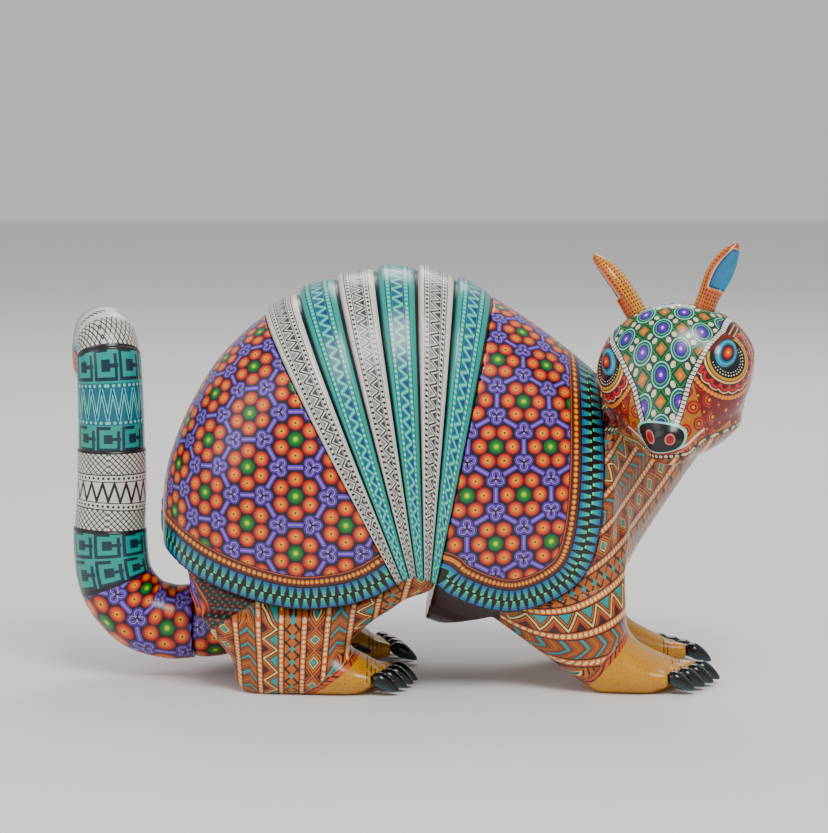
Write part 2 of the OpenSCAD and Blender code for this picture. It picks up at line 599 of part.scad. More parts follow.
module rear_band_dowels() color("burlywood") placed() dowels(rear_band_places);
module front_band_dowels() color("burlywood") placed() dowels(front_band_places);
module hindleg_dowels() color("burlywood") placed() hip_rods(-dowel_depth, dowel_depth, dowel_d);
module foreleg_dowels() color("burlywood") placed() dowels(both_sides([fore_place]));
module neck_dowels() color("burlywood") placed() dowels(neck_places);
module head_dowel() color("burlywood") placed() dowels([[seat_point, seat_heading]]);

rear_shell_block();
banded_block();
front_shell_block();
underbody();
neck();
head();
ear_left();
ear_right();
tail();
hindleg_left();
hindleg_right();
foreleg_left();
foreleg_right();
hind_claws_left();
hind_claws_right();
fore_claws_left();
fore_claws_right();
rear_band_dowels();
front_band_dowels();
hindleg_dowels();
foreleg_dowels();
neck_dowels();
head_dowel();
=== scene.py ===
"""A carved and painted armadillo figure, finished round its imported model."""
import math

import bmesh
import bpy
import numpy as np
from bpy.props import FloatProperty, FloatVectorProperty, IntProperty, PointerProperty
from mathutils import Matrix, Vector


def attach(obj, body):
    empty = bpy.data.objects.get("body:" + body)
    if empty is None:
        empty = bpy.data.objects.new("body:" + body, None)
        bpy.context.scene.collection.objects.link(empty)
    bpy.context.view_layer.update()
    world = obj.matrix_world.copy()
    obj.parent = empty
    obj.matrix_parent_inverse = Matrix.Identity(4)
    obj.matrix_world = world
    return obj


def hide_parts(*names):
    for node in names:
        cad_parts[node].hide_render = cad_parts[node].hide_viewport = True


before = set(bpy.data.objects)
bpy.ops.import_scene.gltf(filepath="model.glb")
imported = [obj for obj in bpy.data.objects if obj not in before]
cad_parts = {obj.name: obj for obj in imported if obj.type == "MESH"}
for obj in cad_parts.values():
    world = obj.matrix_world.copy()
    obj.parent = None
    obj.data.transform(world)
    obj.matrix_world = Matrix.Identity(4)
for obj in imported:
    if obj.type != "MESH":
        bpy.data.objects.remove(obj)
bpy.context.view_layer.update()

bl_info = {
    "name": "Painted Armadillo",
    "version": (1, 0, 0),
    "blender": (4, 5, 0),
    "location": "View3D > Sidebar > Armadillo",
    "description": "Finishes and paints a carved armadillo figure round its packed model",
    "category": "Object",
}

MM = 0.001

# ---------- the design, in its own frame and in millimetres ----------

# The design's x and y are counted from the rump's own frame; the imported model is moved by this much.
MIDDLE = np.array([3.27, -11.51, 0.0])
SHELL_BACK = -119.0
SHELL_LENGTH = 218.0
BACK_HEIGHT = 205.0
HALF_WIDTH = 64.0
RIM_STEP = 3.0
SHELL_SQUARE = 2.25
SHELL_WIDEST = 0.4
# Sections of the shell: share of its length, then of its height for top and bottom, then of its half width.
SHELL_ROWS = np.array([
    (0, 0.44, 0.35, 0.05), (0.008, 0.50, 0.27, 0.26), (0.026, 0.57, 0.20, 0.45), (0.066, 0.67, 0.14, 0.65),
    (0.134, 0.785, 0.10, 0.82), (0.225, 0.877, 0.06, 0.93), (0.335, 0.948, 0.04, 0.985), (0.463, 0.99, 0.04, 1),
    (0.592, 0.997, 0.04, 0.98), (0.702, 0.96, 0.04, 0.95), (0.812, 0.895, 0.05, 0.90), (0.913, 0.818, 0.07, 0.84),
    (1.005, 0.735, 0.10, 0.77), (1.08, 0.65, 0.15, 0.70)])
BANDS = 6
FAN_POINT = np.array([12.52, 30.19])
FAN_BACK = math.radians(117.605)
FAN_FRONT = math.radians(78.206)
REAR_CUT_FOOT = np.array([-1.28, 56.58])
FRONT_CUT_FOOT = np.array([17.9, 55.97])
BAND_ARCH = 2.0
HIP_Z = 39.0
SHOULDER_BACK = np.array([44.94, 36.08])
SHOULDER_FRONT = np.array([110.99, 56.38])
HEAD_AT = np.array([135.0, -40.0, 160.0])
HEAD_TURN, HEAD_NOD, HEAD_TILT = 101.0, 28.0, 6.0
SEAT_POINT = np.array([139.62, -24.55, 151.41])
SEAT_WAY = np.array([0.150, -0.988, -0.034])


def smooth(rows, steps):
    """A curve through rows of numbers, the same one that the design uses."""
    rows = np.asarray(rows, float)
    made = []
    for i in range(len(rows) - 1):
        a, b, c, d = rows[max(i - 1, 0)], rows[i], rows[i + 1], rows[min(i + 2, len(rows) - 1)]
        for t in np.arange(steps) / steps:
            made.append(0.5 * (2 * b + (c - a) * t + (2 * a - 5 * b + 4 * c - d) * t * t
                               + (3 * b - a - 3 * c + d) * t ** 3))
    made.append(rows[-1])
    return np.array(made)


SECTIONS = smooth(SHELL_ROWS, 12) * (SHELL_LENGTH, BACK_HEIGHT, BACK_HEIGHT, HALF_WIDTH)
SECTIONS[:, 0] += SHELL_BACK


def shell_section(x):
    """Top, bottom and half width of the shell at x."""
    return [np.interp(x, SECTIONS[:, 0], SECTIONS[:, column]) for column in (1, 2, 3)]


def shell_depth(points):
    """How far points lie outside the shell's surface, roughly in millimetres, and the way out."""
    def field(p):
        top, bottom, half = shell_section(p[:, 0])
        middle = bottom + SHELL_WIDEST * (top - bottom)
        up = p[:, 2] - middle
        reach = np.where(up > 0, top - middle, middle - bottom)
        return (np.abs(p[:, 1] / half) ** SHELL_SQUARE + np.abs(up / reach) ** SHELL_SQUARE) ** (1 / SHELL_SQUARE) - 1
    base = field(points)
    slope = np.stack([(field(points + step) - field(points - step)) / 0.4 for step in 0.2 * np.eye(3)], axis=1)
    steep = np.linalg.norm(slope, axis=1) + 1e-9
    return base / steep, slope / steep[:, None]


def shell_y(x, z):
    """Half width of the shell at a point of its side view."""
    top, bottom, half = shell_section(x)
    middle = bottom + SHELL_WIDEST * (top - bottom)
    reach = np.where(z > middle, top - middle, middle - bottom)
    return half * (1 - np.minimum(1, np.abs(z - middle) / reach) ** SHELL_SQUARE) ** (1 / SHELL_SQUARE)


def fan_way(share):
    angle = FAN_BACK + (FAN_FRONT - FAN_BACK) * share
    return np.array([math.cos(angle), math.sin(angle)])


def fan_floor(share):
    """Distance from the fan point to the bands' lower edge."""
    back, front = np.linalg.norm(REAR_CUT_FOOT - FAN_POINT), np.linalg.norm(FRONT_CUT_FOOT - FAN_POINT)
    return back * (1 - share) + front * share + BAND_ARCH * 4 * share * (1 - share)


def fan_back(share):
    """Distance from the fan point to the back."""
    low, high = fan_floor(share), 1.5 * BACK_HEIGHT
    way = fan_way(share)
    for _ in range(24):
        middle = (low + high) / 2
        x, z = FAN_POINT + way * middle
        low, high = (middle, high) if z < shell_section(x)[0] else (low, middle)
    return low


# ---------- meshes ----------

def linear(hexa):
    """A hex colour as linear red, green, blue and alpha."""
    parts = [int(hexa[i:i + 2], 16) / 255 for i in (1, 3, 5)]
    return [c / 12.92 if c <= 0.04045 else ((c + 0.055) / 1.055) ** 2.4 for c in parts] + [1.0]


def carved(nodes):
    """A bmesh of the named nodes, their loose triangles joined, in metres."""
    bm = bmesh.new()
    for node in nodes:
        bm.from_mesh(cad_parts[node].data)
    bmesh.ops.remove_doubles(bm, verts=bm.verts, dist=1e-6)
    return bm


def finished(name, bm, body, node_names, material, smooth_faces=True):
    """Makes a piece from a bmesh, in place, and hides the nodes that it stands for."""
    mesh = bpy.data.meshes.new(name)
    bm.to_mesh(mesh)
    bm.free()
    piece = bpy.data.objects.new(name, mesh)
    bpy.context.scene.collection.objects.link(piece)
    mesh.shade_smooth() if smooth_faces else mesh.shade_flat()
    if material:
        mesh.materials.append(material)
    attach(piece, body)
    if node_names:
        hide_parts(*node_names)
    return piece


def rebuilt(bm, size):
    """The same solid with an even skin of small faces, size metres across."""
    mesh = bpy.data.meshes.new("carving")
    bm.to_mesh(mesh)
    bm.free()
    work = bpy.data.objects.new("carving", mesh)
    bpy.context.scene.collection.objects.link(work)
    remesh = work.modifiers.new("skin", "REMESH")
    remesh.mode = "VOXEL"
    remesh.voxel_size = size
    remesh.adaptivity = 0
    evaluated = work.evaluated_get(bpy.context.evaluated_depsgraph_get())
    made = bmesh.new()
    made.from_mesh(evaluated.to_mesh())
    evaluated.to_mesh_clear()
    bpy.data.objects.remove(work)
    bpy.data.meshes.remove(mesh)
    return made


def coordinates(bm):
    """A bmesh's points in the design's frame, in millimetres."""
    return np.array([v.co for v in bm.verts]) / MM + MIDDLE


def place(bm, points):
    """Puts a bmesh's points where the design's frame says."""
    for vert, co in zip(bm.verts, (points - MIDDLE) * MM):
        vert.co = co


def sanded(bm, points, rounds, hold=None):
    """Points after the given rounds of sanding, less where hold is near 1."""
    ends = np.array([[v.index for v in e.verts] for e in bm.edges])
    count = len(points)
    degree = np.bincount(ends.ravel(), minlength=count)[:, None]
    free = 0.5 if hold is None else (0.5 * (1 - hold))[:, None]
    for _ in range(rounds):
        total = np.stack([np.bincount(ends[:, 0], points[ends[:, 1], k], count)
                          + np.bincount(ends[:, 1], points[ends[:, 0], k], count) for k in range(3)], axis=1)
        points = points + (total / degree - points) * free
    return points


def loft(rings):
    """A closed bmesh skin bridged from ring to ring, its points kept in the rings' order."""
    bm = bmesh.new()
    loops = []
    for ring in rings:
        verts = bmesh.ops.create_circle(bm, segments=len(ring), radius=1)["verts"]
        for vert, co in zip(verts, (ring - MIDDLE) * MM):
            vert.co = co
        loops.append(list({edge for vert in verts for edge in vert.link_edges}))
    for low, high in zip(loops, loops[1:]):
        bmesh.ops.bridge_loops(bm, edges=low + high)
    for end in (loops[0], loops[-1]):
        bmesh.ops.contextual_create(bm, geom=end)
    bmesh.ops.recalc_face_normals(bm, faces=bm.faces)
    bm.verts.index_update()
    return bm


def note(piece, name, values):
    """Stores three numbers at each point of a piece for its paint to follow."""
    layer = piece.data.attributes.new(name, "FLOAT_VECTOR", "POINT")
    layer.data.foreach_set("vector", np.ascontiguousarray(values, np.float32).ravel())


def points_of(piece):
    flat = np.empty(len(piece.data.vertices) * 3, np.float32)
    piece.data.vertices.foreach_get("co", flat)
    return flat.reshape(-1, 3).astype(float) / MM + MIDDLE


def second_coat(piece, second):
    """Gives a piece's second material to the faces whose first point is picked."""
    corners = np.empty(len(piece.data.loops), np.int32)
    piece.data.loops.foreach_get("vertex_index", corners)
    starts = np.empty(len(piece.data.polygons), np.int32)
    piece.data.polygons.foreach_get("loop_start", starts)
    piece.data.polygons.foreach_set("material_index", second[corners[starts]].astype(np.int32))


def nearest(points, path):
    """Distance from each point to a path of close points, and how far along the path it is."""
    along = np.concatenate([[0], np.cumsum(np.linalg.norm(np.diff(path, axis=0), axis=1))])
    away, run = np.empty(len(points)), np.empty(len(points))
    for start in range(0, len(points), 4000):
        part = points[start:start + 4000]
        square = ((part[:, None, :] - path[None, :, :]) ** 2).sum(axis=2)
        best = square.argmin(axis=1)
        side = np.clip(best, 1, len(path) - 2)
        way = path[side + 1] - path[side - 1]
        way /= np.linalg.norm(way, axis=1)[:, None]
        offset = part - path[best]
        slip = np.clip((offset * way).sum(axis=1), -1.5, 1.5)
        away[start:start + 4000] = np.sqrt(np.maximum((offset ** 2).sum(axis=1) - slip ** 2, 0))
        run[start:start + 4000] = along[best] + slip
    return away, run


# ---------- paint ----------

def add(tree, kind, settings=None, links=None):
    """Adds one node with its settings and its links or values."""
    node = tree.nodes.new(kind)
    for name, value in (settings or {}).items():
        setattr(node, name, value)
    for socket, value in (links or {}).items():
        if isinstance(value, bpy.types.NodeSocket):
            tree.links.new(value, node.inputs[socket])
        else:
            node.inputs[socket].default_value = value
    return node


class Rule:
    """A number that varies over a surface, so that a painting rule reads as a sum."""

    def __init__(self, tree, value):
        self.tree, self.value = tree, value

    def of(self, operation, *others):
        values = [self.value] + [o.value if isinstance(o, Rule) else float(o) for o in others]
        node = add(self.tree, "ShaderNodeMath", {"operation": operation}, dict(enumerate(values)))
        return Rule(self.tree, node.outputs[0])

    def __add__(self, other): return self.of("ADD", other)
    def __sub__(self, other): return self.of("SUBTRACT", other)
    def __mul__(self, other): return self.of("MULTIPLY", other)
    def __truediv__(self, other): return self.of("DIVIDE", other)
    def __lt__(self, other): return self.of("LESS_THAN", other)
    def __gt__(self, other): return self.of("GREATER_THAN", other)
    def __and__(self, other): return self.of("MULTIPLY", other)
    def __or__(self, other): return self.of("MAXIMUM", other)
    def __invert__(self): return (self * -1.0) + 1.0

    def folded(self, half):
        """Repeats every 2 * half, counted from the middle of each repeat."""
        return self.of("WRAP", half, -half)

    def between(self, low, high):
        return (self > low) & (self < high)

    def near(self, middle, reach):
        return self.of("COMPARE", middle, reach)


def length(a, b):
    return (a * a + b * b).of("SQRT")


def chosen(pick, yes, no):
    """yes where pick is 1, and no where it is 0."""
    return no + (yes - no) * pick


def rules_from(tree, name):
    """The three numbers that a piece carries under a name."""
    source = add(tree, "ShaderNodeAttribute", {"attribute_name": name})
    split = add(tree, "ShaderNodeSeparateXYZ", links={0: source.outputs["Vector"]})
    return [Rule(tree, out) for out in split.outputs]


def layered(tree, ground, layers):
    """Coats of paint: each layer's colour goes over those before it where its rule is 1."""
    colour = ground
    for where, paint in layers:
        colour = add(tree, "ShaderNodeMix", {"data_type": "RGBA"},
                     {0: where.value, 6: colour, 7: paint}).outputs[2]
    return colour


def varnished(name, painter, gloss):
    """Acrylic paint on carved wood under a satin varnish: fine brush streaks, a soft shine and a thin clear coat."""
    material = bpy.data.materials.new(name)
    material.use_nodes = True
    tree = material.node_tree
    tree.nodes.clear()
    colour, height = painter(tree)
    position = add(tree, "ShaderNodeTexCoord")
    place_on = position.outputs["Object"]
    # Brush streaks about 1 mm apart, and patches of thicker varnish about 17 mm across.
    brush = add(tree, "ShaderNodeTexNoise", links={"Vector": place_on, "Scale": 900.0, "Detail": 3.0})
    patches = add(tree, "ShaderNodeTexNoise", links={"Vector": place_on, "Scale": 60.0, "Detail": 2.0})
    value = Rule(tree, brush.outputs["Fac"]) * 0.24 + Rule(tree, patches.outputs["Fac"]) * 0.2 + 0.66
    shaded = add(tree, "ShaderNodeHueSaturation", links={"Saturation": 1.22, "Value": value.value, "Color": colour})
    rough = Rule(tree, patches.outputs["Fac"]) * 0.16 + (gloss - 0.08)
    high = (height if height is not None else Rule(tree, brush.outputs["Fac"]) * 0.0) \
        + Rule(tree, brush.outputs["Fac"]) * 0.25
    bump = add(tree, "ShaderNodeBump", links={"Strength": 0.35, "Distance": 0.0003, "Height": high.value})
    shader = add(tree, "ShaderNodeBsdfPrincipled", links={
        "Base Color": shaded.outputs[0], "Roughness": rough.value, "Normal": bump.outputs[0],
        "IOR": 1.49, "Coat Weight": 0.25, "Coat Roughness": 0.18})
    add(tree, "ShaderNodeOutputMaterial", links={0: shader.outputs[0]})
    return material


# ---------- sizes and colours ----------

class ShellSettings(bpy.types.PropertyGroup):
    """Sizes of the painted shell."""
    skin: FloatProperty(name="Skin", description="Size of the small faces of the carved surface",
                        default=0.0013, min=0.0008, unit="LENGTH")
    flower_pitch: FloatProperty(name="Flower pitch", description="Distance between two painted flowers",
                                default=0.028, min=0.01, unit="LENGTH")
    tooth_pitch: FloatProperty(name="Tooth pitch", description="Distance between two teeth of the rim's border",
                               default=0.0045, min=0.002, unit="LENGTH")
    ground: FloatVectorProperty(name="Ground", description="Dark ground under the flowers", subtype="COLOR", size=4,
                                default=linear("#1a0616"))


class BandSettings(bpy.types.PropertyGroup):
    """Sizes of the bands over the back."""
    lip: FloatProperty(name="Lip", description="Height of each band's lip", default=0.0024, unit="LENGTH")
    around: IntProperty(name="Around", description="Points from one foot of a band up to the ridge",
                        default=80, min=20)


class TailSettings(bpy.types.PropertyGroup):
    """Sizes of the tail."""
    radius: FloatProperty(name="Radius", description="Radius of the upright part", default=0.01794, unit="LENGTH")
    step: FloatProperty(name="Step", description="Step between two painted rings", default=0.0012, unit="LENGTH")


class BodySettings(bpy.types.PropertyGroup):
    """Sizes of the body, the legs and the head."""
    skin: FloatProperty(name="Skin", description="Size of the small faces of the carved surface",
                        default=0.0011, min=0.0007, unit="LENGTH")
    strip: FloatProperty(name="Strip", description="Width of one painted strip on the legs and the neck",
                         default=0.0115, min=0.006, unit="LENGTH")
    claw: FloatProperty(name="Claw", description="Length of a claw", default=0.013, unit="LENGTH")


class StageSettings(bpy.types.PropertyGroup):
    """Floor, light and camera."""
    floor: FloatVectorProperty(name="Floor", description="Colour of the plain floor", subtype="COLOR", size=4,
                               default=linear("#e9e7e3"))
    distance: FloatProperty(name="Distance", description="Distance of the camera", default=1.5, unit="LENGTH")
    height: FloatProperty(name="Height", description="Angle of the camera above the floor", default=math.radians(7),
                          subtype="ANGLE")


# ---------- stage ----------

class ARMADILLO_OT_stage(bpy.types.Operator):
    """Pale floor, soft light and the camera"""
    bl_idname = "armadillo.stage"
    bl_label = "Stage"

    def execute(self, context):
        settings = context.scene.armadillo_stage
        bm = bmesh.new()
        bmesh.ops.create_grid(bm, x_segments=2, y_segments=2, size=4)
        mesh = bpy.data.meshes.new("floor")
        bm.to_mesh(mesh)
        bm.free()
        floor = bpy.data.objects.new("floor", mesh)
        context.scene.collection.objects.link(floor)
        matt = bpy.data.materials.new("matt_backdrop_paper")
        matt.use_nodes = True
        shader = matt.node_tree.nodes["Principled BSDF"]
        shader.inputs["Base Color"].default_value = settings.floor
        shader.inputs["Roughness"].default_value = 0.9
        mesh.materials.append(matt)

        world = bpy.data.worlds.new("soft_room")
        world.use_nodes = True
        world.node_tree.nodes["Background"].inputs[0].default_value = (0.95, 0.97, 1.0, 1)
        world.node_tree.nodes["Background"].inputs[1].default_value = 0.6
        context.scene.world = world
        for name, place_at, size, power in (("key", (0.35, -1.1, 1.7), 0.8, 27), ("fill", (-1.5, -0.9, 0.9), 1.2, 7),
                                            ("back", (0.2, 1.3, 1.5), 1.0, 14)):
            light = bpy.data.lights.new(name, "AREA")
            light.size = size
            light.energy = power
            lamp = bpy.data.objects.new(name, light)
            lamp.location = place_at
            lamp.rotation_euler = (Vector((0, 0, 0.1)) - Vector(place_at)).to_track_quat("-Z", "Y").to_euler()
            context.scene.collection.objects.link(lamp)

        camera = bpy.data.cameras.new("camera")
        camera.sensor_width = 36
        camera.lens = 129.7
        seen = bpy.data.objects.new("camera", camera)
        aim = Vector((0.0037, 0.0115, 0.131))
        seen.location = aim + settings.distance * Vector((0, -math.cos(settings.height), math.sin(settings.height)))
        seen.rotation_euler = (aim - seen.location).to_track_quat("-Z", "Y").to_euler()
        context.scene.collection.objects.link(seen)
        context.scene.camera = seen
        return {"FINISHED"}


# ---------- shell ----------

def petals(tree, across, along, pitch):
    """A field of flowers on a honeycomb: layers of six-petalled flowers, three-lobed medallions and short bars."""
    u, w = across / pitch, along / pitch
    ax, ay = u.folded(0.5), w.folded(0.866)
    bx, by = (u + 0.5).folded(0.5), (w + 0.866).folded(0.866)
    first = length(ax, ay) < length(bx, by)
    x, y = chosen(first, ax, bx) * pitch, chosen(first, ay, by) * pitch
    r = length(x, y)
    sector = y.of("ARCTAN2", x).folded(math.pi / 6)
    px, py = r * sector.of("COSINE"), (r * sector.of("SINE")).of("ABSOLUTE")
    petal = length(px - 8.2, py * 0.94)
    mx, my = px - pitch / 2, py - pitch * 0.2887
    away = length(mx, my)
    lobe_turn = (my.of("ARCTAN2", mx) + math.pi / 6).folded(math.pi / 3)
    lx, ly = away * lobe_turn.of("COSINE"), away * lobe_turn.of("SINE")
    lobe = length(lx - 2.3, ly)
    bar = (px - pitch / 2).of("ABSOLUTE")
    return [
        ((bar < 1.75) & (py < 4.2), linear("#050208")), ((bar < 1.2) & (py < 3.9), linear("#7d5fc0")),
        ((bar < 0.35) & (py < 3.6), linear("#a892dc")),
        (lobe < 3.25, linear("#050208")), (lobe < 2.85, linear("#7457b8")), (lobe < 2.3, linear("#1c0c3a")),
        (lobe < 2.0, linear("#b09be0")), (lobe < 1.5, linear("#22103f")), (lobe < 1.2, linear("#8468c4")),
        ((ly.of("ABSOLUTE") < 0.42) & (lx.between(-0.4, 2.9)), linear("#08030c")),
        (petal < 4.15, linear("#080203")), (petal < 3.85, linear("#7c0a08")), (petal < 3.5, linear("#b8160a")),
        (petal < 3.05, linear("#dc2c08")), (petal < 2.5, linear("#ee520a")), (petal < 1.85, linear("#f6800e")),
        (petal < 1.15, linear("#fbb01c")), (petal < 0.5, linear("#180402")),
        (r < 4.1, linear("#050a05")), (r < 3.75, linear("#0c5a20")), (r < 2.9, linear("#157a2a")),
        (r < 1.8, linear("#4aa51e")), (r < 1.1, linear("#c6dc2c"))]


def paint_shell(tree, pitch, tooth, ground):
    across, along, _ = rules_from(tree, "lattice")
    rim, run, _ = rules_from(tree, "rim")
    field = layered(tree, ground, petals(tree, across, along, pitch))
    out = (rim - 6.3).of("ABSOLUTE")
    near_row = (rim < 6.3) * (tooth * 0.3)
    side = (run + near_row).folded(tooth / 2).of("ABSOLUTE")
    teeth = (side < (out * 0.2 + 0.62)) & out.between(0.35, 5.5)
    bead = length(run.folded(1.38), rim - 14.9)
    border = layered(tree, linear("#0d0608"), [
        (teeth, linear("#8ff0c0")), (teeth & (out > 1.1), linear("#22b49c")), (teeth & (out > 2.7), linear("#0f9aa8")),
        (teeth & (out > 4.1), linear("#0b6fb0")), (rim > 12.6, linear("#5c1608")), (bead < 1.15, linear("#f58a14")),
        (bead < 0.5, linear("#fcd07a")), (rim > 16.9, linear("#180406")), (rim > 17.2, linear("#c8500c"))])
    colour = layered(tree, field, [(rim < 18.2, linear("#0d0608")), (rim < 17.7, border)])
    height = (rim < 17.9) * 0.5
    return colour, height


def rim_path(controls, stop_at_top):
    """The shell's lower or front edge, from one side over to the other, as close points."""
    line = smooth(np.array(controls) * (SHELL_LENGTH, BACK_HEIGHT) + (SHELL_BACK, 0), 200)
    if stop_at_top:
        line = line[line[:, 1] < shell_section(line[:, 0])[0]]
    else:
        line = line[line[:, 0] > SHELL_BACK + 0.05]
    half = np.column_stack([line[:, 0], shell_y(line[:, 0], line[:, 1]), line[:, 1]])
    if not stop_at_top:
        half = half[::-1]
    other = half[::-1] * (1, -1, 1)
    whole = np.concatenate([half, other])
    along = np.concatenate([[0], np.cumsum(np.linalg.norm(np.diff(whole, axis=0), axis=1))])
    even = np.arange(0, along[-1], 0.8)
    return np.column_stack([np.interp(even, along, whole[:, k]) for k in range(3)])


REAR_RIM = [(-0.06, 0.385), (0, 0.345), (0.087, 0.285), (0.202, 0.238), (0.317, 0.213), (0.422, 0.222),
            (0.491, 0.245), (0.54, 0.276)]
FRONT_RIM = [(0.628, 0.273), (0.658, 0.246), (0.729, 0.213), (0.80, 0.202), (0.876, 0.222), (0.945, 0.27),
             (0.982, 0.345), (1.0, 0.47), (1.002, 0.62), (0.99, 0.75), (0.95, 0.92)]


class ARMADILLO_OT_shell(bpy.types.Operator):
    """Rear and front blocks of the shell"""
    bl_idname = "armadillo.shell"
    bl_label = "Shell"

    def execute(self, context):
        settings = context.scene.armadillo_shell
        # Artist's acrylic under satin varnish: deep dark ground with bright dots, and a slightly raised border along
        # the rim.
        paint = varnished("acrylic_flowers_on_shell", lambda tree: paint_shell(
            tree, settings.flower_pitch / MM, settings.tooth_pitch / MM, tuple(settings.ground)), gloss=0.3)
        for node, rim, centre, at_front in (("rear_shell_block", REAR_RIM, -50.0, False),
                                            ("front_shell_block", FRONT_RIM, 60.0, True)):
            bm = rebuilt(carved([node]), settings.skin)
            points = coordinates(bm)
            for _ in range(2):
                out, way = shell_depth(points)
                points = points - way * (out * (np.abs(out) < 1.2))[:, None]
            place(bm, points)
            piece = finished("shell_" + ("front" if at_front else "rear"), bm, "figure", [node],
                             paint)
            side = np.sqrt(np.maximum(1 - (points[:, 1] / HALF_WIDTH) ** 2, 1e-6))
            spread = np.where(side > 0.02, np.arcsin(side) / side, 1)
            x, z = (points[:, 0] - centre) * spread, (points[:, 2] - 100) * spread
            note(piece, "lattice", np.column_stack([z, x, z] if not at_front else [x, z, z]))
            away, run = nearest(points, rim_path(rim, at_front))
            note(piece, "rim", np.column_stack([away, run, away]))
        return {"FINISHED"}


# ---------- bands ----------

def band_ring(share, lift, around):
    """One section of the banded block, raised by lift, from its right foot over the ridge to its left foot."""
    floor, back = fan_floor(share), fan_back(share)
    reach = floor + (back - floor) * np.sin(np.linspace(0, math.pi / 2, around + 1))
    way = fan_way(share)
    at = FAN_POINT + reach[:, None] * way
    y = shell_y(at[:, 0], at[:, 1])
    y[-1] = 0
    raised = FAN_POINT + (floor + (reach - floor) * (1 + lift / (back - floor)))[:, None] * way
    half = np.column_stack([raised[:, 0], y * (1 + lift / HALF_WIDTH), raised[:, 1]])
    return np.concatenate([half, half[-2::-1] * (1, -1, 1)])


def paint_bands(tree):
    band, girth, width = rules_from(tree, "band")
    share = band.of("FRACT")
    teal = ((band / 2).of("FRACT") > 0.5)
    dots = length((share - 0.245) * width, girth.folded(1.35))
    dots_two = length((share - 0.705) * width, girth.folded(1.35))
    zig = girth.folded(3.2).of("ABSOLUTE") / 1.6 - 1.0
    across = (share - 0.475) / 0.135
    line = ((across - zig).of("ABSOLUTE") < 0.3) & (across.of("ABSOLUTE") < 1.0)
    inner = ((across - zig) > 0.75) & (across.of("ABSOLUTE") < 1.0)
    outer = ((across - zig) < -0.75) & (across.of("ABSOLUTE") < 1.0)
    rules = share.near(0.185, 0.012) | share.near(0.315, 0.012) | share.near(0.635, 0.012) | share.near(0.77, 0.012)
    white = layered(tree, linear("#e9e5da"), [
        (line, linear("#151214")), (inner, linear("#3b3a40")), (outer, linear("#8f8c8b")),
        (dots < 0.72, linear("#151214")), (dots_two < 0.72, linear("#151214")), (rules, linear("#151214"))])
    green = layered(tree, linear("#12a396"), [
        (line, linear("#8fe8c6")), (inner, linear("#143a86")), (outer, linear("#0d5f8e")),
        (dots < 0.72, linear("#a5f0d2")), (dots_two < 0.72, linear("#a5f0d2")), (rules, linear("#0a3c52"))])
    colour = layered(tree, white, [
        (teal, green), (share > 0.925, linear("#0b090b")), (share < 0.02, linear("#0b090b"))])
    return colour, None


class ARMADILLO_OT_bands(bpy.types.Operator):
    """The banded block over the back"""
    bl_idname = "armadillo.bands"
    bl_label = "Bands"

    def execute(self, context):
        settings = context.scene.armadillo_bands
        profile = smooth([(0.0, -0.3), (0.03, -0.1), (0.08, 0.8), (0.22, 1), (0.5, 0.75), (0.82, 0.45), (0.95, -0.1),
                          (1.0, -0.3)], 4)
        lip = settings.lip / MM
        shares, rings = [], []
        for band in range(BANDS):
            for across, lift in profile if band == BANDS - 1 else profile[:-1]:
                shares.append((band + across) / BANDS)
                rings.append(band_ring(shares[-1], lift * lip, settings.around))
        bm = loft(rings)
        # Acrylic over a carved lip, with a soft varnished edge.
        piece = finished("bands", bm, "figure", ["banded_block"],
                         varnished("acrylic_frets_on_bands", paint_bands, gloss=0.3))
        rows = np.array(rings)
        steps = np.linalg.norm(np.diff(rows, axis=1), axis=2)
        middle = settings.around
        run = np.concatenate([np.zeros((len(rows), 1)), np.cumsum(steps, axis=1)], axis=1)
        run -= run[:, middle:middle + 1]
        width = np.linalg.norm(rows - FAN_POINT_3D, axis=2) * (FAN_BACK - FAN_FRONT) / BANDS
        across = np.repeat(np.array(shares)[:, None] * BANDS, rows.shape[1], axis=1)
        note(piece, "band", np.column_stack([across.ravel(), run.ravel(), width.ravel()]))
        return {"FINISHED"}


FAN_POINT_3D = np.array([FAN_POINT[0], 0, FAN_POINT[1]])


# ---------- tail ----------

TAIL_LINE = [(-104, 0, 27.5, 1.03), (-116, 0, 27.2, 1.05), (-131, 0, 32.5, 1.06), (-142.5, 0, 47.5, 1.05),
             (-145.5, 0, 69.5, 1.03), (-144.5, 0, 93.5, 1), (-144.3, 0, 115.9, 0.99), (-144.5, 0, 138.4, 0.98),
             (-145.5, 2, 160, 0.96), (-147.5, 9, 169.5, 0.93), (-151.5, 20, 171, 0.84), (-156, 31, 167, 0.72),
             (-160, 38, 158, 0.58), (-162, 41, 149, 0.42), (-162.5, 41.5, 143, 0.16)]
TAIL_ENDS = [75.0, 115.0, 162.0, 186.0]
# Radius at which the tail's girth holds four flowers, the pitch of one, and the pitch of a fret.
TAIL_REACH = 17.4
TAIL_FLOWER = 27.33
TAIL_FRET = 13.66


def meander(u, v, pitch):
    """A stepped fret: nested open squares."""
    p, q = (u / pitch).folded(0.5), (v / pitch).folded(0.5)
    ring = p.of("ABSOLUTE").of("MAXIMUM", q.of("ABSOLUTE"))
    return (ring.between(0.34, 0.46) & ~((p > 0.1) & (q > 0.3))) | (ring < 0.17) | ((p > 0.0) & q.near(0.0, 0.06))


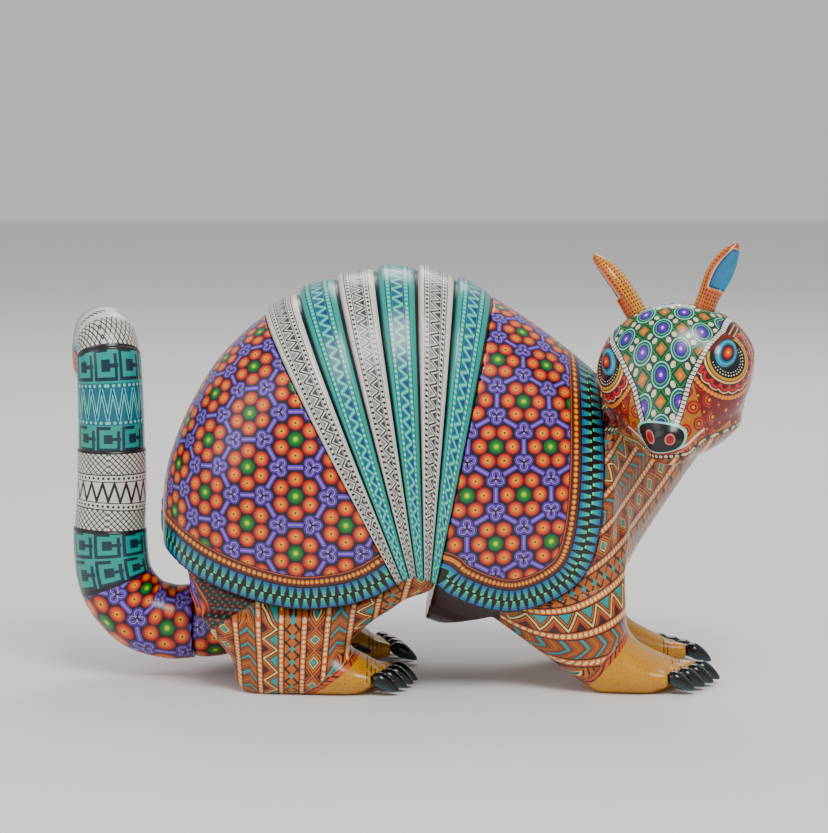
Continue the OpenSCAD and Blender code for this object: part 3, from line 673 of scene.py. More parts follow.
def paint_tail(tree):
    run, c, s = rules_from(tree, "tail")
    arc = s.of("ARCTAN2", c) * TAIL_REACH
    flowers = layered(tree, linear("#1c0a10"), petals(tree, arc, run - 12.0, TAIL_FLOWER))
    fret = meander(arc, run - 54.8, TAIL_FRET)
    teal = layered(tree, linear("#0fa192"), [(fret, linear("#06303f"))])
    hatch = ((arc + run).folded(1.5).of("ABSOLUTE") < 0.42) | ((arc - run).folded(1.5).of("ABSOLUTE") < 0.3)
    tooth = arc.folded(3.04).of("ABSOLUTE") / 3.04
    fan = (((run - 95.0) / 9.0 + 0.5) - tooth).of("ABSOLUTE")
    pale = layered(tree, linear("#e8e4da"), [
        (hatch & ((run < 87.0) | (run > 103.0)), linear("#1b181b")),
        (run.between(86.5, 103.5), linear("#e8e4da")), ((fan < 0.22) & run.between(89.5, 100.5), linear("#161316")),
        (length(arc.folded(1.3), run - 88.0) < 0.7, linear("#161316")),
        (length(arc.folded(1.3), run - 102.0) < 0.7, linear("#161316")),
        (run.near(86.3, 0.3) | run.near(103.7, 0.3) | run.near(89.8, 0.25) | run.near(100.3, 0.25), linear("#161316"))])
    vees = (((run - 138.5) / 14.0 + 0.5) - tooth).of("ABSOLUTE")
    upper = layered(tree, linear("#0fa192"), [
        (meander(arc, run - 121.8, TAIL_FRET) & (run < 128.0), linear("#06303f")),
        (meander(arc, run - 155.8, TAIL_FRET) & (run > 149.0), linear("#06303f")),
        (run.between(128.5, 148.5), linear("#0d6f86")), ((vees < 0.3) & run.between(131, 146), linear("#8fe8c6")),
        ((vees < 0.12) & run.between(131, 146), linear("#10318c")),
        (length(arc.folded(1.5), run - 129.8) < 0.75, linear("#a5f0d2")),
        (length(arc.folded(1.5), run - 147.3) < 0.75, linear("#a5f0d2"))])
    tip_white = layered(tree, linear("#e8e4da"), [
        (hatch, linear("#1b181b")), (run.between(171.0, 177.0), linear("#e8e4da")),
        (length(arc.folded(1.3), run - 174.0) < 0.8, linear("#161316"))])
    crest = layered(tree, linear("#13a89b"), [
        (length(arc.folded(2.2), (run - 190.0).folded(2.2)) < 1.1, linear("#1b63c2"))])
    tip = layered(tree, linear("#ea7a1d"), [
        (length(arc.folded(2.0), (run - 205.0).folded(2.0)) < 0.9, linear("#8f1a14")),
        ((arc + run).folded(3.5).of("ABSOLUTE") < 0.4, linear("#123f9a"))])
    edge = run.near(48.0, 0.9) | run.near(75.0, 0.9) | run.near(115.0, 0.9) | run.near(162.0, 0.9) \
        | run.near(186.0, 0.7) | run.near(205.0, 0.7)
    colour = layered(tree, flowers, [
        (run > 48.0, teal), (run > 75.0, pale), (run > 115.0, upper), (run > 162.0, tip_white), (run > 186.0, crest),
        (run > 205.0, tip), (edge, linear("#0b090b"))])
    return colour, None


class ARMADILLO_OT_tail(bpy.types.Operator):
    """The upright tail with its curled tip"""
    bl_idname = "armadillo.tail"
    bl_label = "Tail"

    def execute(self, context):
        settings = context.scene.armadillo_tail
        line = smooth(TAIL_LINE, 40)
        run = np.concatenate([[0], np.cumsum(np.linalg.norm(np.diff(line[:, :3], axis=0), axis=1))])
        at = np.concatenate([np.arange(0, run[-1], 1.0), [run[-1]]])
        for end in TAIL_ENDS:
            at = np.concatenate([at[np.abs(at - end) > 0.7], [end - 0.35, end - 0.1, end + 0.1, end + 0.35]])
        at = np.sort(at)
        line = np.column_stack([np.interp(at, run, line[:, k]) for k in range(4)])
        way = np.gradient(line[:, :3], axis=0)
        way[0] = (-1, 0, 0)
        way /= np.linalg.norm(way, axis=1)[:, None]
        side = np.array([0.0, 1.0, 0.0]) - way * way[:, 1:2]
        side /= np.linalg.norm(side, axis=1)[:, None]
        up = np.cross(way, side)
        radius = line[:, 3] * settings.radius / MM
        for end in TAIL_ENDS:
            radius = radius - settings.step / MM * 0.5 * np.clip((at - end) / 0.2 + 0.5, 0, 1)
        turn = np.linspace(0, 2 * math.pi, 73)[:-1]
        rings = [centre + r * (np.outer(np.cos(turn), s) + np.outer(np.sin(turn), u))
                 for centre, r, s, u in zip(line[:, :3], radius, side, up)]
        bm = loft(rings)
        # Acrylic over turned and carved wood.
        piece = finished("tail", bm, "tail", ["tail"],
                         varnished("acrylic_rings_on_tail", paint_tail, gloss=0.3))
        angle = np.tile(turn, len(at))
        note(piece, "tail", np.column_stack([np.repeat(at, len(turn)), np.cos(angle), np.sin(angle)]))
        tenon = bmesh.new()
        bmesh.ops.create_cone(tenon, cap_ends=True, segments=48, radius1=9 * MM, radius2=8.6 * MM, depth=25 * MM)
        bmesh.ops.rotate(tenon, verts=tenon.verts, matrix=Matrix.Rotation(math.pi / 2, 3, "Y"))
        bmesh.ops.translate(tenon, verts=tenon.verts, vec=Vector((np.array([-92.5, 0, 27.5]) - MIDDLE) * MM))
        finished("tail_tenon", tenon, "tail", [], plain_wood(), smooth_faces=False)
        return {"FINISHED"}


def plain_wood():
    """Bare copal wood: pale, straight grained and dry."""
    known = bpy.data.materials.get("bare_copal_wood")
    if known:
        return known
    material = bpy.data.materials.new("bare_copal_wood")
    material.use_nodes = True
    tree = material.node_tree
    position = add(tree, "ShaderNodeTexCoord")
    # Grain lines about 1 mm apart.
    stretched = add(tree, "ShaderNodeMapping", links={"Vector": position.outputs["Object"], "Scale": (60, 900, 900)})
    grain = add(tree, "ShaderNodeTexNoise", links={"Vector": stretched.outputs[0], "Scale": 1.0, "Detail": 4.0})
    colour = layered_by(tree, grain.outputs["Fac"], linear("#b98d5a"), linear("#dcbb88"))
    shader = tree.nodes["Principled BSDF"]
    tree.links.new(colour, shader.inputs["Base Color"])
    shader.inputs["Roughness"].default_value = 0.7
    return material


def layered_by(tree, amount, low, high):
    """A colour between two others, by an amount that varies."""
    return add(tree, "ShaderNodeMix", {"data_type": "RGBA"}, {0: amount, 6: low, 7: high}).outputs[2]


# ---------- body, legs, neck and head ----------

def cut(bm, at, normal, keep_above):
    """The part of a carving on one side of a plane, closed where it was cut."""
    part = bm.copy()
    made = bmesh.ops.bisect_plane(part, geom=part.verts[:] + part.edges[:] + part.faces[:], dist=1e-7,
                                  plane_co=Vector((np.array(at) - MIDDLE) * MM), plane_no=Vector(normal),
                                  clear_inner=keep_above, clear_outer=not keep_above)
    edges = [e for e in made["geom_cut"] if isinstance(e, bmesh.types.BMEdge) and len(e.link_faces) == 1]
    bmesh.ops.triangle_fill(part, edges=edges, use_beauty=True)
    bmesh.ops.recalc_face_normals(part, faces=part.faces)
    part.verts.index_update()
    return part


def one_side(bm, sign):
    """The part of a carving on the left (1) or the right (-1)."""
    part = bm.copy()
    middle = -MIDDLE[1] * MM
    bmesh.ops.delete(part, geom=[v for v in part.verts if (v.co.y - middle) * sign < 0], context="VERTS")
    part.verts.index_update()
    return part


def head_turn():
    return Matrix.Rotation(math.radians(-HEAD_TURN), 3, "Z") @ Matrix.Rotation(math.radians(HEAD_NOD), 3, "Y") \
        @ Matrix.Rotation(math.radians(HEAD_TILT), 3, "X")


def turned_into_head(points):
    """Points in the head's own frame: x to the nose, y to its left, z to its crown."""
    return (points - HEAD_AT) @ np.array(head_turn())


def head_coordinates(points):
    """The head's frame, with the snout's slight bend taken out."""
    at = turned_into_head(points)
    at[:, 1] += 0.06 * at[:, 0]
    return at


EYE = np.array([19.0, 28.5, 18.5])
EYE_OUT = EYE / np.linalg.norm(EYE)
EYE_DOWN = np.array([0.35, 0.25, -0.9])
EYE_DOWN = EYE_DOWN - EYE_OUT * EYE_DOWN.dot(EYE_OUT)
EYE_DOWN /= np.linalg.norm(EYE_DOWN)
EYE_FRONT = np.cross(EYE_OUT, EYE_DOWN)
# Half width of the green forehead along the head, from its back to the nose.
FOREHEAD = np.array([(-45, 30), (0, 28), (10, 27), (16, 24.5), (24, 20), (35, 13.4), (50, 8.2), (60, 7)])


def eye_coordinates(at):
    """Distances forward and down from the nearer eye."""
    sided = np.column_stack([at[:, 0], np.abs(at[:, 1]), at[:, 2]]) - EYE
    return sided @ EYE_FRONT, sided @ EYE_DOWN, np.linalg.norm(sided, axis=1)


def neck_share(points):
    """Above 0 on the head, and below 0 on the neck."""
    at = turned_into_head(points)
    jaw = at[:, 2] + 13 + 0.36 * (45 - np.minimum(at[:, 0], 45))
    past_seat = (points - SEAT_POINT) @ SEAT_WAY
    return np.minimum(jaw, past_seat + 1)


def stripe_layers(strip, along, width):
    """Painted strips: each in its turn has diamonds, chevrons, triangles or a zigzag, with lines of beads between."""
    c = (strip.of("FRACT") - 0.5) * width
    turn = (strip / 4).of("FRACT") * 4
    saw = along.folded(5.5).of("ABSOLUTE")
    diamond = c.of("ABSOLUTE") + saw
    chevron = (along + c.of("ABSOLUTE")).folded(4.0).of("ABSOLUTE")
    zig = (c / 3.6 + 1.0) * 2.75 - saw
    brown, cream, blue = linear("#3a0f06"), linear("#f3dca0"), linear("#0f9c98")
    tan, rust = linear("#e07a28"), linear("#a83c10")
    first, second, third = turn < 1.0, turn.between(0.9999, 2.0), turn.between(1.9999, 3.0)
    fourth = turn > 2.9999
    bead = length(c.of("ABSOLUTE") - width / 2, along.folded(1.2))
    return [
        (first & (diamond > 6.0), brown), (first & (diamond > 6.6), rust), (first & (diamond > 7.8), brown),
        (first & (diamond < 4.8), brown), (first & (diamond < 4.2), tan), (first & (diamond < 3.3), brown),
        (first & (diamond < 2.7), cream), (first & (diamond < 2.0), brown), (first & (diamond < 1.6), blue),
        (second & (chevron < 2.3), brown), (second & (chevron < 1.9), rust), (second & (chevron < 1.2), brown),
        (second & (chevron < 0.8), blue), (second & chevron.between(2.9, 3.3), brown),
        (third & (zig.of("ABSOLUTE") < 1.2), brown), (third & (zig.of("ABSOLUTE") < 0.5), cream),
        (third & (zig > 2.0), brown), (third & (zig > 2.5), blue), (third & (zig < -2.0), rust),
        (third & (zig < -3.2), brown),
        (fourth & ((c + along).folded(3.3).of("ABSOLUTE") < 0.8), brown),
        (fourth & (((c - along).folded(3.3).of("ABSOLUTE")) < 0.6), brown),
        (fourth & (length(c.folded(3.3), along.folded(3.3)) < 1.3), blue),
        (c.of("ABSOLUTE") > width / 2 - 1.9, brown), (c.of("ABSOLUTE") > width / 2 - 1.3, linear("#d8600f")),
        (bead < 0.9, linear("#fbe3a8"))]


def paint_hide(tree, width):
    strip, along, toe = rules_from(tree, "strip")
    brown = linear("#3a0f06")
    leg = layered(tree, linear("#c46a26"), stripe_layers(strip, along, width))
    position = add(tree, "ShaderNodeTexCoord")
    # Stippling about 0.9 mm apart.
    cells = add(tree, "ShaderNodeTexVoronoi", links={"Vector": position.outputs["Object"], "Scale": 1100.0})
    speck = Rule(tree, cells.outputs["Distance"])
    hatch = toe.between(6.0, 13.0) & (toe.folded(1.0).of("ABSOLUTE") < 0.3) & (along.folded(4.5).of("ABSOLUTE") < 2.6)
    foot = layered(tree, linear("#d69a3e"), [
        (speck < 0.3, linear("#a8722a")), (hatch, linear("#5c2c0c")), (toe < 1.0, linear("#b03c10")),
        (strip > -0.35, linear("#d8500f")), ((strip > -0.35) & (along.folded(1.3).of("ABSOLUTE") < 0.4), brown),
        (strip > -0.1, brown)])
    colour = layered(tree, leg, [(strip < 0.0, foot), (toe > 97.5, linear("#2a0d0c"))])
    return colour, None


def paint_belly(tree):
    strip, along, height = rules_from(tree, "belly")
    run, c, s = rules_from(tree, "tail")
    flowers = layered(tree, linear("#1c0a10"), petals(tree, s.of("ARCTAN2", c) * TAIL_REACH, run - 12.0, TAIL_FLOWER))
    red = length(strip.folded(2.0), along.folded(2.0))
    grey = length((strip + 2.0).folded(2.0), (along + 2.0).folded(2.0))
    colour = layered(tree, linear("#220b0f"), [
        (red < 0.75, linear("#b3301f")), (grey < 0.6, linear("#3f8a58")), (run > -34.0, flowers),
        (height < 3.2, linear("#6d2415")),
        ((height < 3.2) & (length(height - 1.6, along.folded(1.6)) < 0.9), linear("#f0a53a"))])
    return colour, None


def paint_head(tree):
    x, y, z = rules_from(tree, "head")
    front, down, from_eye = rules_from(tree, "eye")
    edge, border, _ = rules_from(tree, "edge")
    # Forehead: ringed discs and little diamonds on a lattice that stands on its corner.
    u, w = (x + 3.0) / 18.4, y / 18.4
    p, q = u + w, u - w
    fp, fq = p.folded(0.5) * 13.0, q.folded(0.5) * 13.0
    disc = length(fp, fq)
    gp, gq = (p + 0.5).folded(0.5) * 13.0, (q + 0.5).folded(0.5) * 13.0
    diamond = gp.of("ABSOLUTE").of("MAXIMUM", gq.of("ABSOLUTE"))
    drop = length(gp * 0.8, fq.of("ABSOLUTE") - 1.7).of("MINIMUM", length(fp.of("ABSOLUTE") - 1.7, gq * 0.8))
    green = layered(tree, linear("#0b3a30"), [
        (diamond < 4.4, linear("#1c7a3c")), (diamond < 3.9, linear("#0a2a22")), (diamond < 3.4, linear("#2c8f44")),
        (diamond < 2.9, linear("#0a2620")), (diamond < 2.3, linear("#1f6d3a")), (diamond < 1.8, linear("#d86a14")),
        (diamond < 0.8, linear("#f0a040")), (drop < 1.35, linear("#081f1a")), (drop < 1.1, linear("#f2e6c4")),
        (disc < 5.0, linear("#06201a")), (disc < 4.7, linear("#9cf0d8")), (disc < 4.2, linear("#0f5a48")),
        (disc < 3.4, linear("#6fb8a0")), (disc < 3.0, linear("#2a1558")), (disc < 2.5, linear("#4c30a0")),
        (disc < 1.7, linear("#7c52bc")), (disc < 0.7, linear("#f6d0f2"))])
    # Cheeks: deep red with rosettes and dots, and yellow towards the snout.
    rosette = length(down.folded(4.2), front.folded(4.2))
    dot = length((down + 4.2).folded(4.2), (front + 4.2).folded(4.2))
    yellowish = (x - 37.0) / 12.0 - (edge - 4.0) / 9.0
    near = yellowish > -0.55
    cheek = layered(tree, linear("#7c0f08"), [
        (yellowish > 0.1, linear("#b8741a")), (near & (rosette < 3.5), linear("#c22c10")),
        (near & (rosette < 2.9), linear("#7c0f08")), (near & (rosette < 2.3), linear("#e0641f")),
        (near & (rosette < 1.7), linear("#8c160c")), (rosette < 0.8, linear("#f4a848")), (dot < 0.6, linear("#f0883c"))])
    turn = (down - 2.5).of("ARCTAN2", front)
    below = length(front, down - 2.5)
    lobes = (turn * 14.0).folded(2.5)
    scallop = length(lobes, below - 13.2)
    almond = length(front / 1.25, down + front * 0.25)
    rings = layered(tree, cheek, [
        (below < 20.2, linear("#3a0806")), (below < 19.8, linear("#b4480f")),
        (length((turn * 18.8).folded(1.05), below - 18.8) < 0.92, linear("#fb9a24")),
        (below < 17.7, linear("#2c0605")), ((scallop < 3.9) & (below > 13.0), linear("#f2c8a0")),
        ((scallop < 3.3) & (below > 13.0), linear("#4a0808")), ((scallop < 2.8) & (below > 13.0), linear("#d8242a")),
        ((scallop < 1.7) & (below > 13.0), linear("#5c0a10")),
        (below < 13.0, linear("#2c0a06")), (below < 12.5, linear("#f0d494")), (below < 11.7, linear("#5a2a10")),
        (below < 11.2, linear("#d8a244")), (below < 9.9, linear("#060608")),
        ((below < 20.2) & (down < -5.5), linear("#3a0c08")),
        ((below < 20.2) & (down < -5.5) & ((down + front * 0.3).folded(1.3).of("ABSOLUTE") < 0.4), linear("#f0b888")),
        ((below < 12.0) & (down < -4.2), linear("#7a2418")),
        ((length((turn * 8.6).folded(0.8), below - 8.6) < 0.36) & (down > 1.0), linear("#f4f0e6")),
        ((length((turn * 7.2).folded(0.75), below - 7.2) < 0.28) & (down > 1.0), linear("#f4f0e6")),
        (almond < 6.0, linear("#04202e")), (almond < 5.6, linear("#0a8fb0")), (almond < 4.9, linear("#22b4c8")),
        (almond < 4.2, linear("#0a6f96")), (almond < 3.4, linear("#031420")), (almond < 2.7, linear("#8e100c")),
        (almond < 1.9, linear("#e2481a")), (almond < 0.7, linear("#f8d86a"))])
    ticks = x.folded(0.75).of("ABSOLUTE") < 0.22
    face = layered(tree, rings, [
        ((edge < 1.5) & (almond > 6.0), linear("#0b0a0a")), ((edge < 1.1) & (almond > 6.0), linear("#f4efe2")),
        ((edge < 1.1) & ticks & (x > 6.0), linear("#1d1a1a")),
        ((edge < -0.9) & (z > -1.0), linear("#0b0f0d")), ((edge < -1.5) & (z > -1.0), green)])
    nose = length(y / 11.5, (z + 3.0) / 5.9)
    hole = length(y.of("ABSOLUTE") - 5.0, z + 2.6)
    ahead = x > 43.0
    smile = (z + 7.4 - (y.of("ABSOLUTE") - 9.0) * 0.09).of("ABSOLUTE")
    mouth = ahead & (z < -6.9) & (z > (y.of("ABSOLUTE") * 0.32 - 12.6))
    face = layered(tree, face, [
        ((z < -12.0) & (x > 30.0), linear("#c9791f")), (mouth, linear("#e7a08c")),
        (mouth & (z < -7.4) & (z > (y.of("ABSOLUTE") * 0.32 - 12.0)), linear("#b3261a")),
        ((smile < 0.55) & (x > 36.0) & (y.of("ABSOLUTE") < 19.0), linear("#f4efe2")),
        (ahead & (nose < 1.09), linear("#a6f2da")), (ahead & (nose < 1.0), linear("#08080a")),
        (ahead & (hole < 2.5), linear("#e79a8c")), (ahead & (hole < 1.9), linear("#a31a16"))])
    colour = layered(tree, face, [
        (border < 2.6, linear("#150a0a")), (length(border - 1.2, (x + y).folded(1.3)) < 0.85, linear("#f2dfb0"))])
    return colour, None


class ARMADILLO_OT_hind_body(bpy.types.Operator):
    """Belly, hips and hind legs, carved as one and then parted at the hips"""
    bl_idname = "armadillo.hind_body"
    bl_label = "Hind body"

    def execute(self, context):
        settings = context.scene.armadillo_body
        width = settings.strip / MM
        bm = rebuilt(carved(["underbody", "hindleg_left", "hindleg_right"]), settings.skin)
        points = coordinates(bm)
        hold = ((points[:, 2] < 1.2) | (points[:, 2] > 58)).astype(float)
        points = sanded(bm, points, 26, hold)
        haunch = np.clip(1.6 - np.abs(points[:, 2] - 44) / 9, 0, 1) * (1 - hold)
        place(bm, sanded(bm, points, 70, 1 - haunch))
        hip = (0, 0, HIP_Z)
        belly = cut(bm, hip, (0, 0, 1), True)
        legs = cut(bm, hip, (0, 0, 1), False)
        bm.free()
        # Acrylic under satin varnish: dark dots on the belly, beaded strips on the legs, finely stippled feet.
        dots = varnished("acrylic_dots_on_belly", paint_belly, gloss=0.35)
        hide = varnished("acrylic_strips_on_hide", lambda tree: paint_hide(tree, width), gloss=0.33)
        self.painted(finished("belly", belly, "figure", ["underbody"], dots), hide, width)
        for name, sign in (("left", 1), ("right", -1)):
            self.painted(finished("hindleg_carved_" + name, one_side(legs, sign), "figure", ["hindleg_" + name],
                                  dots), hide, width)
        legs.free()
        return {"FINISHED"}

    def painted(self, piece, hide, width):
        """Upright strips on the leg and its haunch up to the shell's edge, and the belly's paint elsewhere."""
        piece.data.materials.append(hide)
        points = points_of(piece)
        x, y, z = points.T
        away, run = nearest(points, rim_path(REAR_RIM, False) - (0, 0, RIM_STEP * 0.4))
        note(piece, "belly", np.column_stack([z * 1.2, run, away]))
        flange = np.maximum(np.hypot(y, z - 27.5) - 18, 0)
        note(piece, "tail", np.column_stack([-104 - x - flange, y / 18, (27.5 - z) / 18]))
        foot_top = np.where(x < -22, 1.6 + (x + 46) * 0.77, 20 + (x + 22))
        lean = (x + 92 + (40 - z) * 0.12 * (x + 60) / 30) / width
        strip = np.where(z > foot_top, np.maximum(lean, 0), np.minimum((z - foot_top) / 12, -0.001))
        note(piece, "strip", np.column_stack([strip, z + np.abs(np.abs(y) - 38), -4 - x]))
        leg = (np.abs(y) > 21) & (x > -93 + np.maximum(z - 31, 0) * 1.5) & (away > 3.5)
        second_coat(piece, leg)


class ARMADILLO_OT_front_body(bpy.types.Operator):
    """Neck, head and forelegs, carved as one and then parted at the shoulders"""
    bl_idname = "armadillo.front_body"
    bl_label = "Front body"

    def execute(self, context):
        settings = context.scene.armadillo_body
        bm = rebuilt(carved(["neck", "head", "foreleg_left", "foreleg_right"]), settings.skin)
        points = coordinates(bm)
        hold = ((points[:, 2] < 1.2) | (shell_depth(points)[0] < 2)).astype(float)
        points = sanded(bm, points, 14, hold)
        # The shoulders run smoothly into the chest.
        slope = SHOULDER_FRONT - SHOULDER_BACK
        above = ((points[:, 2] - SHOULDER_BACK[1]) * slope[0] - (points[:, 0] - SHOULDER_BACK[0]) * slope[1]) \
            / np.linalg.norm(slope)
        shoulder = np.clip(1.6 - np.abs(above) / 14, 0, 1) * (1 - hold)
        points = sanded(bm, points, 90, 1 - shoulder)
        # Eyes, brows and the nose's pad stand a little proud.
        at = head_coordinates(points)
        forward, down, from_eye = eye_coordinates(at)
        out = turned_into_head(points)
        far_out = np.linalg.norm(out, axis=1)[:, None]
        almond = np.hypot(forward / 1.25, down + forward * 0.25)
        eye = np.sqrt(np.maximum(1 - (almond / 5.8) ** 2, 0)) * 1.4 * (from_eye < 12)
        rim = np.exp(-((np.hypot(forward, down - 2.5) - 10.6) / 1.5) ** 2) * 0.6 * (from_eye < 18)
        nose = np.clip(1.35 - np.hypot(at[:, 1] / 11.5, (at[:, 2] + 3) / 5.9), 0, 0.35) / 0.35 * (at[:, 0] > 43) * 0.45
        points = points + (points - HEAD_AT) / far_out * (eye + rim + nose)[:, None]
        # The jowls taper down to the chin.
        head = np.array(head_turn())
        taper = np.clip((6 - out[:, 2]) / 34, 0, 1) * 0.2 * np.clip(neck_share(points) / 8, 0, 1)
        points = points - (out[:, 1] * taper)[:, None] * head[:, 1]
        place(bm, points)
        way = (-slope[1], 0, slope[0])
        shoulder = (SHOULDER_BACK[0], 0, SHOULDER_BACK[1])
        upper = cut(bm, shoulder, way, True)
        lower = cut(bm, shoulder, way, False)
        bm.free()
        hide = bpy.data.materials["acrylic_strips_on_hide"]
        piece = finished("neck_and_head", upper, "figure", ["neck", "head"], hide)
        # The same acrylics with a thicker varnish on the face.
        piece.data.materials.append(varnished("acrylic_lace_on_face", paint_head, gloss=0.26))
        points = points_of(piece)
        share = neck_share(points)
        second_coat(piece, share > 0)
        at = head_coordinates(points)
        front, down, from_eye = eye_coordinates(at)
        edge = np.abs(at[:, 1]) - np.interp(at[:, 0], FOREHEAD[:, 0], FOREHEAD[:, 1])
        note(piece, "head", at)
        note(piece, "eye", np.column_stack([front, down, from_eye]))
        note(piece, "edge", np.column_stack([edge, share, share]))
        self.strips(piece, points, 0)
        for name, sign in (("left", 1), ("right", -1)):
            leg = finished("foreleg_carved_" + name, one_side(lower, sign), "figure", ["foreleg_" + name],
                           hide)
            self.strips(leg, points_of(leg), sign * 36)
        lower.free()
        return {"FINISHED"}

    def strips(self, piece, points, middle):
        """Strips hang in shallow arcs round the wrist, and rise more steeply towards the neck."""
        x, y, z = points.T
        lowest = 29 + 0.0105 * (x - 78) ** 2
        apart = 12.5 * np.maximum(1 + 0.013 * (x - 78), 0.7)
        strip = 2 + (z - lowest) / apart
        # The bare foot lies ahead of a slanting line over the wrist.
        ahead = x - 93.5 - (z - 10) / 1.2
        strip = np.where((ahead > 0) & (z < 40), -ahead / 12 - 0.001, np.maximum(strip, 0.001))
        run = np.hypot(x - 15, z - 33) - 0.8 * np.abs(y - middle)
        note(piece, "strip", np.column_stack([strip, run, 146.6 - x]))


# ---------- ears, claws and dowels ----------

def ear_frame(sign):
    """Turns and moves the ear's own frame into the design's."""
    lean = Vector((-0.49, sign * 0.44, 0.75)).normalized()
    foot = Vector((-0.16 * 39, sign * 0.44 * 39, 0.80 * 38)) - 7 / 3 * lean
    yaw = math.atan2(lean.y, lean.x)
    head = Matrix.Translation(Vector(HEAD_AT)) @ Matrix.Rotation(math.radians(-HEAD_TURN), 4, "Z") \
        @ Matrix.Rotation(math.radians(HEAD_NOD), 4, "Y") @ Matrix.Rotation(math.radians(HEAD_TILT), 4, "X")
    return head @ Matrix.Translation(foot) @ Matrix.Rotation(yaw, 4, "Z") \
        @ Matrix.Rotation(math.acos(lean.z), 4, "Y") \
        @ Matrix.Rotation(-yaw, 4, "Z") @ Matrix.Diagonal((1, sign, 1, 1))


def paint_ear(tree):
    x, y, z = rules_from(tree, "ear")
    inside, arc, _ = rules_from(tree, "hollow")
    dots = length((arc * 7.0).folded(0.95), z.folded(0.95) * 0.8)
    # The back is orange, a deeper orange towards its sides, with a paler stripe down its middle that is a painted
    # highlight, and dark dots.
    back = layered(tree, linear("#e89a4a"), [
        (arc.of("ABSOLUTE") > 1.5, linear("#d8641c")), (arc.of("ABSOLUTE") < 0.75, linear("#f0bc84")),
        (dots < 0.46, linear("#3c120c"))])
    colour = layered(tree, back, [
        (inside < 1.7, linear("#f0c890")), (inside < 1.1, linear("#0e2f86")), (inside < 0.35, linear("#0892c8"))])
    return colour, None


class ARMADILLO_OT_ears(bpy.types.Operator):
    """Both ears"""
    bl_idname = "armadillo.ears"
    bl_label = "Ears"

    def execute(self, context):
        # Acrylic on thin carved wood, glossy blue inside, with a painted highlight down the middle of the back.
        paint = varnished("acrylic_dots_on_ears", paint_ear, gloss=0.28)
        rows = smooth([(0, 0.36, 0.36, 0), (0.19, 0.36, 0.36, 0), (0.36, 0.46, 0.36, 0.01), (0.54, 0.5, 0.36, 0.03),
                       (0.72, 0.43, 0.32, 0.06), (0.88, 0.26, 0.22, 0.1), (1, 0.06, 0.06, 0.13)], 10)
        for name, sign in (("left", 1), ("right", -1)):
            bm = rebuilt(carved(["ear_" + name]), 0.0005)
            points = sanded(bm, coordinates(bm), 4)
            place(bm, points)
            piece = finished("ear_carved_" + name, bm, "ear_" + name, ["ear_" + name], paint)
            turn = Matrix.Rotation(math.radians(-42 if sign > 0 else -6), 4, "Z")
            back = np.array((ear_frame(sign) @ turn).inverted())
            x, y, z = ((points @ back[:3, :3].T) + back[:3, 3]).T
            share = np.clip(z / 36, 0, 1)
            half, thick, shift = [np.interp(share, rows[:, 0], rows[:, k]) for k in (1, 2, 3)]
            wide, deep, off = 15 * half - 1.8, 15 * thick - 1.8, 29 * shift
            hollow = (np.hypot(x / np.maximum(wide, 0.3), (y - off - 3.3) / np.maximum(deep, 0.3)) - 1) \
                * np.maximum(wide, 0.3)
            hollow = np.maximum(hollow, np.maximum(12.5 - z, z - 31.5))
            note(piece, "ear", np.column_stack([x, y, z]))
            note(piece, "hollow", np.column_stack([hollow, np.arctan2(x, off - y), hollow]))
        return {"FINISHED"}


def paint_claw(tree):
    run, side, high = rules_from(tree, "claw")
    dots = length(run.folded(1.0), side)
    colour = layered(tree, linear("#050809"), [
        (high < -1.0, linear("#0a3a40")), ((dots < 0.4) & (high > 0) & (run < 10.0), linear("#f0ede4"))])
    return colour, None


class ARMADILLO_OT_claws(bpy.types.Operator):
    """Curved claws, four to a foot"""
    bl_idname = "armadillo.claws"
    bl_label = "Claws"

    def execute(self, context):
        long = context.scene.armadillo_body.claw / MM
        # Black enamel under gloss varnish.
        paint = varnished("enamelled_claws", paint_claw, gloss=0.16)
        for foot, toe_x, out, toe_backs in (("hind", -8.0, 57.0, (9, 5, 2, 0)), ("fore", 142.6, 54.0, (15, 9, 4, 0))):
            for name, sign in (("left", 1), ("right", -1)):
                whole = bmesh.new()
                notes = {}
                for toe, back in enumerate(toe_backs):
                    ball = bmesh.ops.create_uvsphere(whole, u_segments=28, v_segments=20, radius=1)
                    for vert in ball["verts"]:
                        run = (vert.co.z + 1) / 2
                        fat = 4.35 * (1 - 0.62 * max(0, run - 0.35) ** 1.3)
                        x, y, z = (long + 1.0) * run - 1.2, vert.co.x * fat, vert.co.y * fat - 5.6 * run ** 2 + 0.8
                        notes[vert] = (x, y, vert.co.y * fat)
                        root = np.array([toe_x - back + 3.9, sign * (out - 9 * (0.62 + 0.98 * toe)), 7.4])
                        vert.co = (root + (x, y, max(z, 0.4 - root[2])) - MIDDLE) * MM
                whole.verts.index_update()
                bmesh.ops.recalc_face_normals(whole, faces=whole.faces)
                notes = [notes[vert] for vert in whole.verts]
                node = foot + "_claws_" + name
                piece = finished(node + "_curved", whole, "figure", [node], paint)
                note(piece, "claw", np.array(notes))
        return {"FINISHED"}


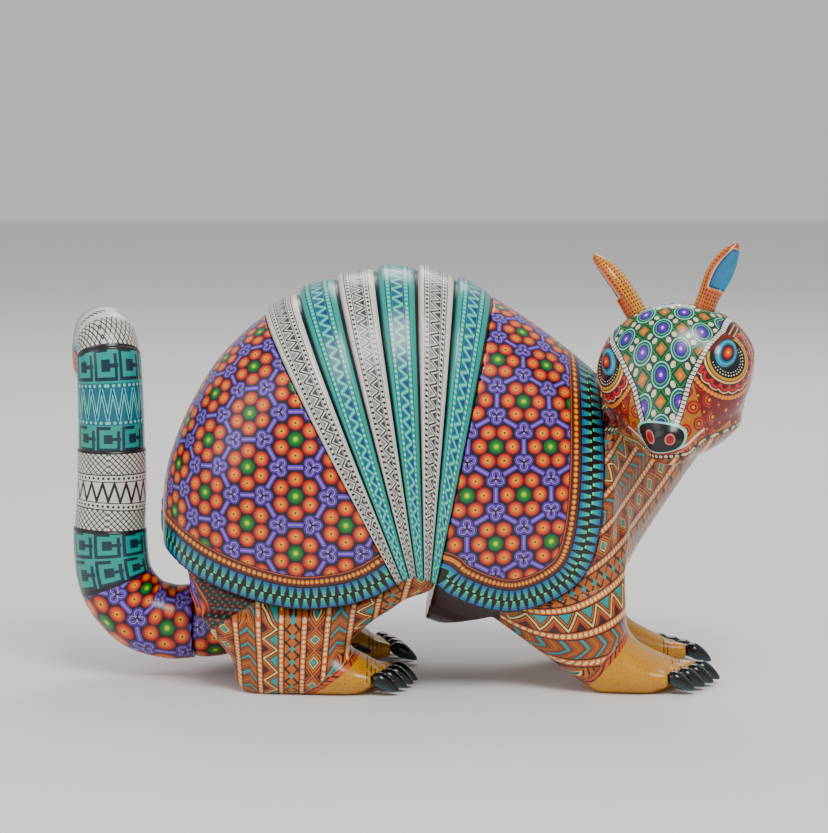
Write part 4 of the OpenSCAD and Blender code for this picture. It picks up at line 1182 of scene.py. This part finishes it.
class ARMADILLO_OT_dowels(bpy.types.Operator):
    """Hidden dowels, left as they are and given their wood"""
    bl_idname = "armadillo.dowels"
    bl_label = "Dowels"

    def execute(self, context):
        for name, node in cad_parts.items():
            if "dowel" in name:
                node.data.materials.clear()
                node.data.materials.append(plain_wood())
        return {"FINISHED"}


class ARMADILLO_PT_panel(bpy.types.Panel):
    """Lists what the add-on makes"""
    bl_idname = "ARMADILLO_PT_panel"
    bl_label = "Painted Armadillo"
    bl_space_type = "VIEW_3D"
    bl_region_type = "UI"
    bl_category = "Armadillo"

    def draw(self, context):
        for settings, operators in PARTS:
            for operator in operators:
                self.layout.operator(operator)
            if settings:
                for name in SETTINGS[settings].__annotations__:
                    self.layout.prop(getattr(context.scene, settings), name)


SETTINGS = {"armadillo_stage": StageSettings, "armadillo_shell": ShellSettings, "armadillo_bands": BandSettings,
            "armadillo_tail": TailSettings, "armadillo_body": BodySettings}
PARTS = [("armadillo_stage", ["armadillo.stage"]), ("armadillo_shell", ["armadillo.shell"]),
         ("armadillo_bands", ["armadillo.bands"]), ("armadillo_tail", ["armadillo.tail"]),
         ("armadillo_body", ["armadillo.hind_body", "armadillo.front_body", "armadillo.ears", "armadillo.claws"]),
         (None, ["armadillo.dowels"])]
CLASSES = [*SETTINGS.values(), ARMADILLO_OT_stage, ARMADILLO_OT_shell, ARMADILLO_OT_bands, ARMADILLO_OT_tail,
           ARMADILLO_OT_hind_body, ARMADILLO_OT_front_body, ARMADILLO_OT_ears, ARMADILLO_OT_claws, ARMADILLO_OT_dowels,
           ARMADILLO_PT_panel]


def register():
    for cls in CLASSES:
        bpy.utils.register_class(cls)
    for name, group in SETTINGS.items():
        setattr(bpy.types.Scene, name, PointerProperty(type=group))


def unregister():
    for name in SETTINGS:
        delattr(bpy.types.Scene, name)
    for cls in reversed(CLASSES):
        bpy.utils.unregister_class(cls)


def main():
    register()
    for _, operators in PARTS:
        for operator in operators:
            group, name = operator.split(".")
            getattr(getattr(bpy.ops, group), name)()


if __name__ == "__main__":
    main()
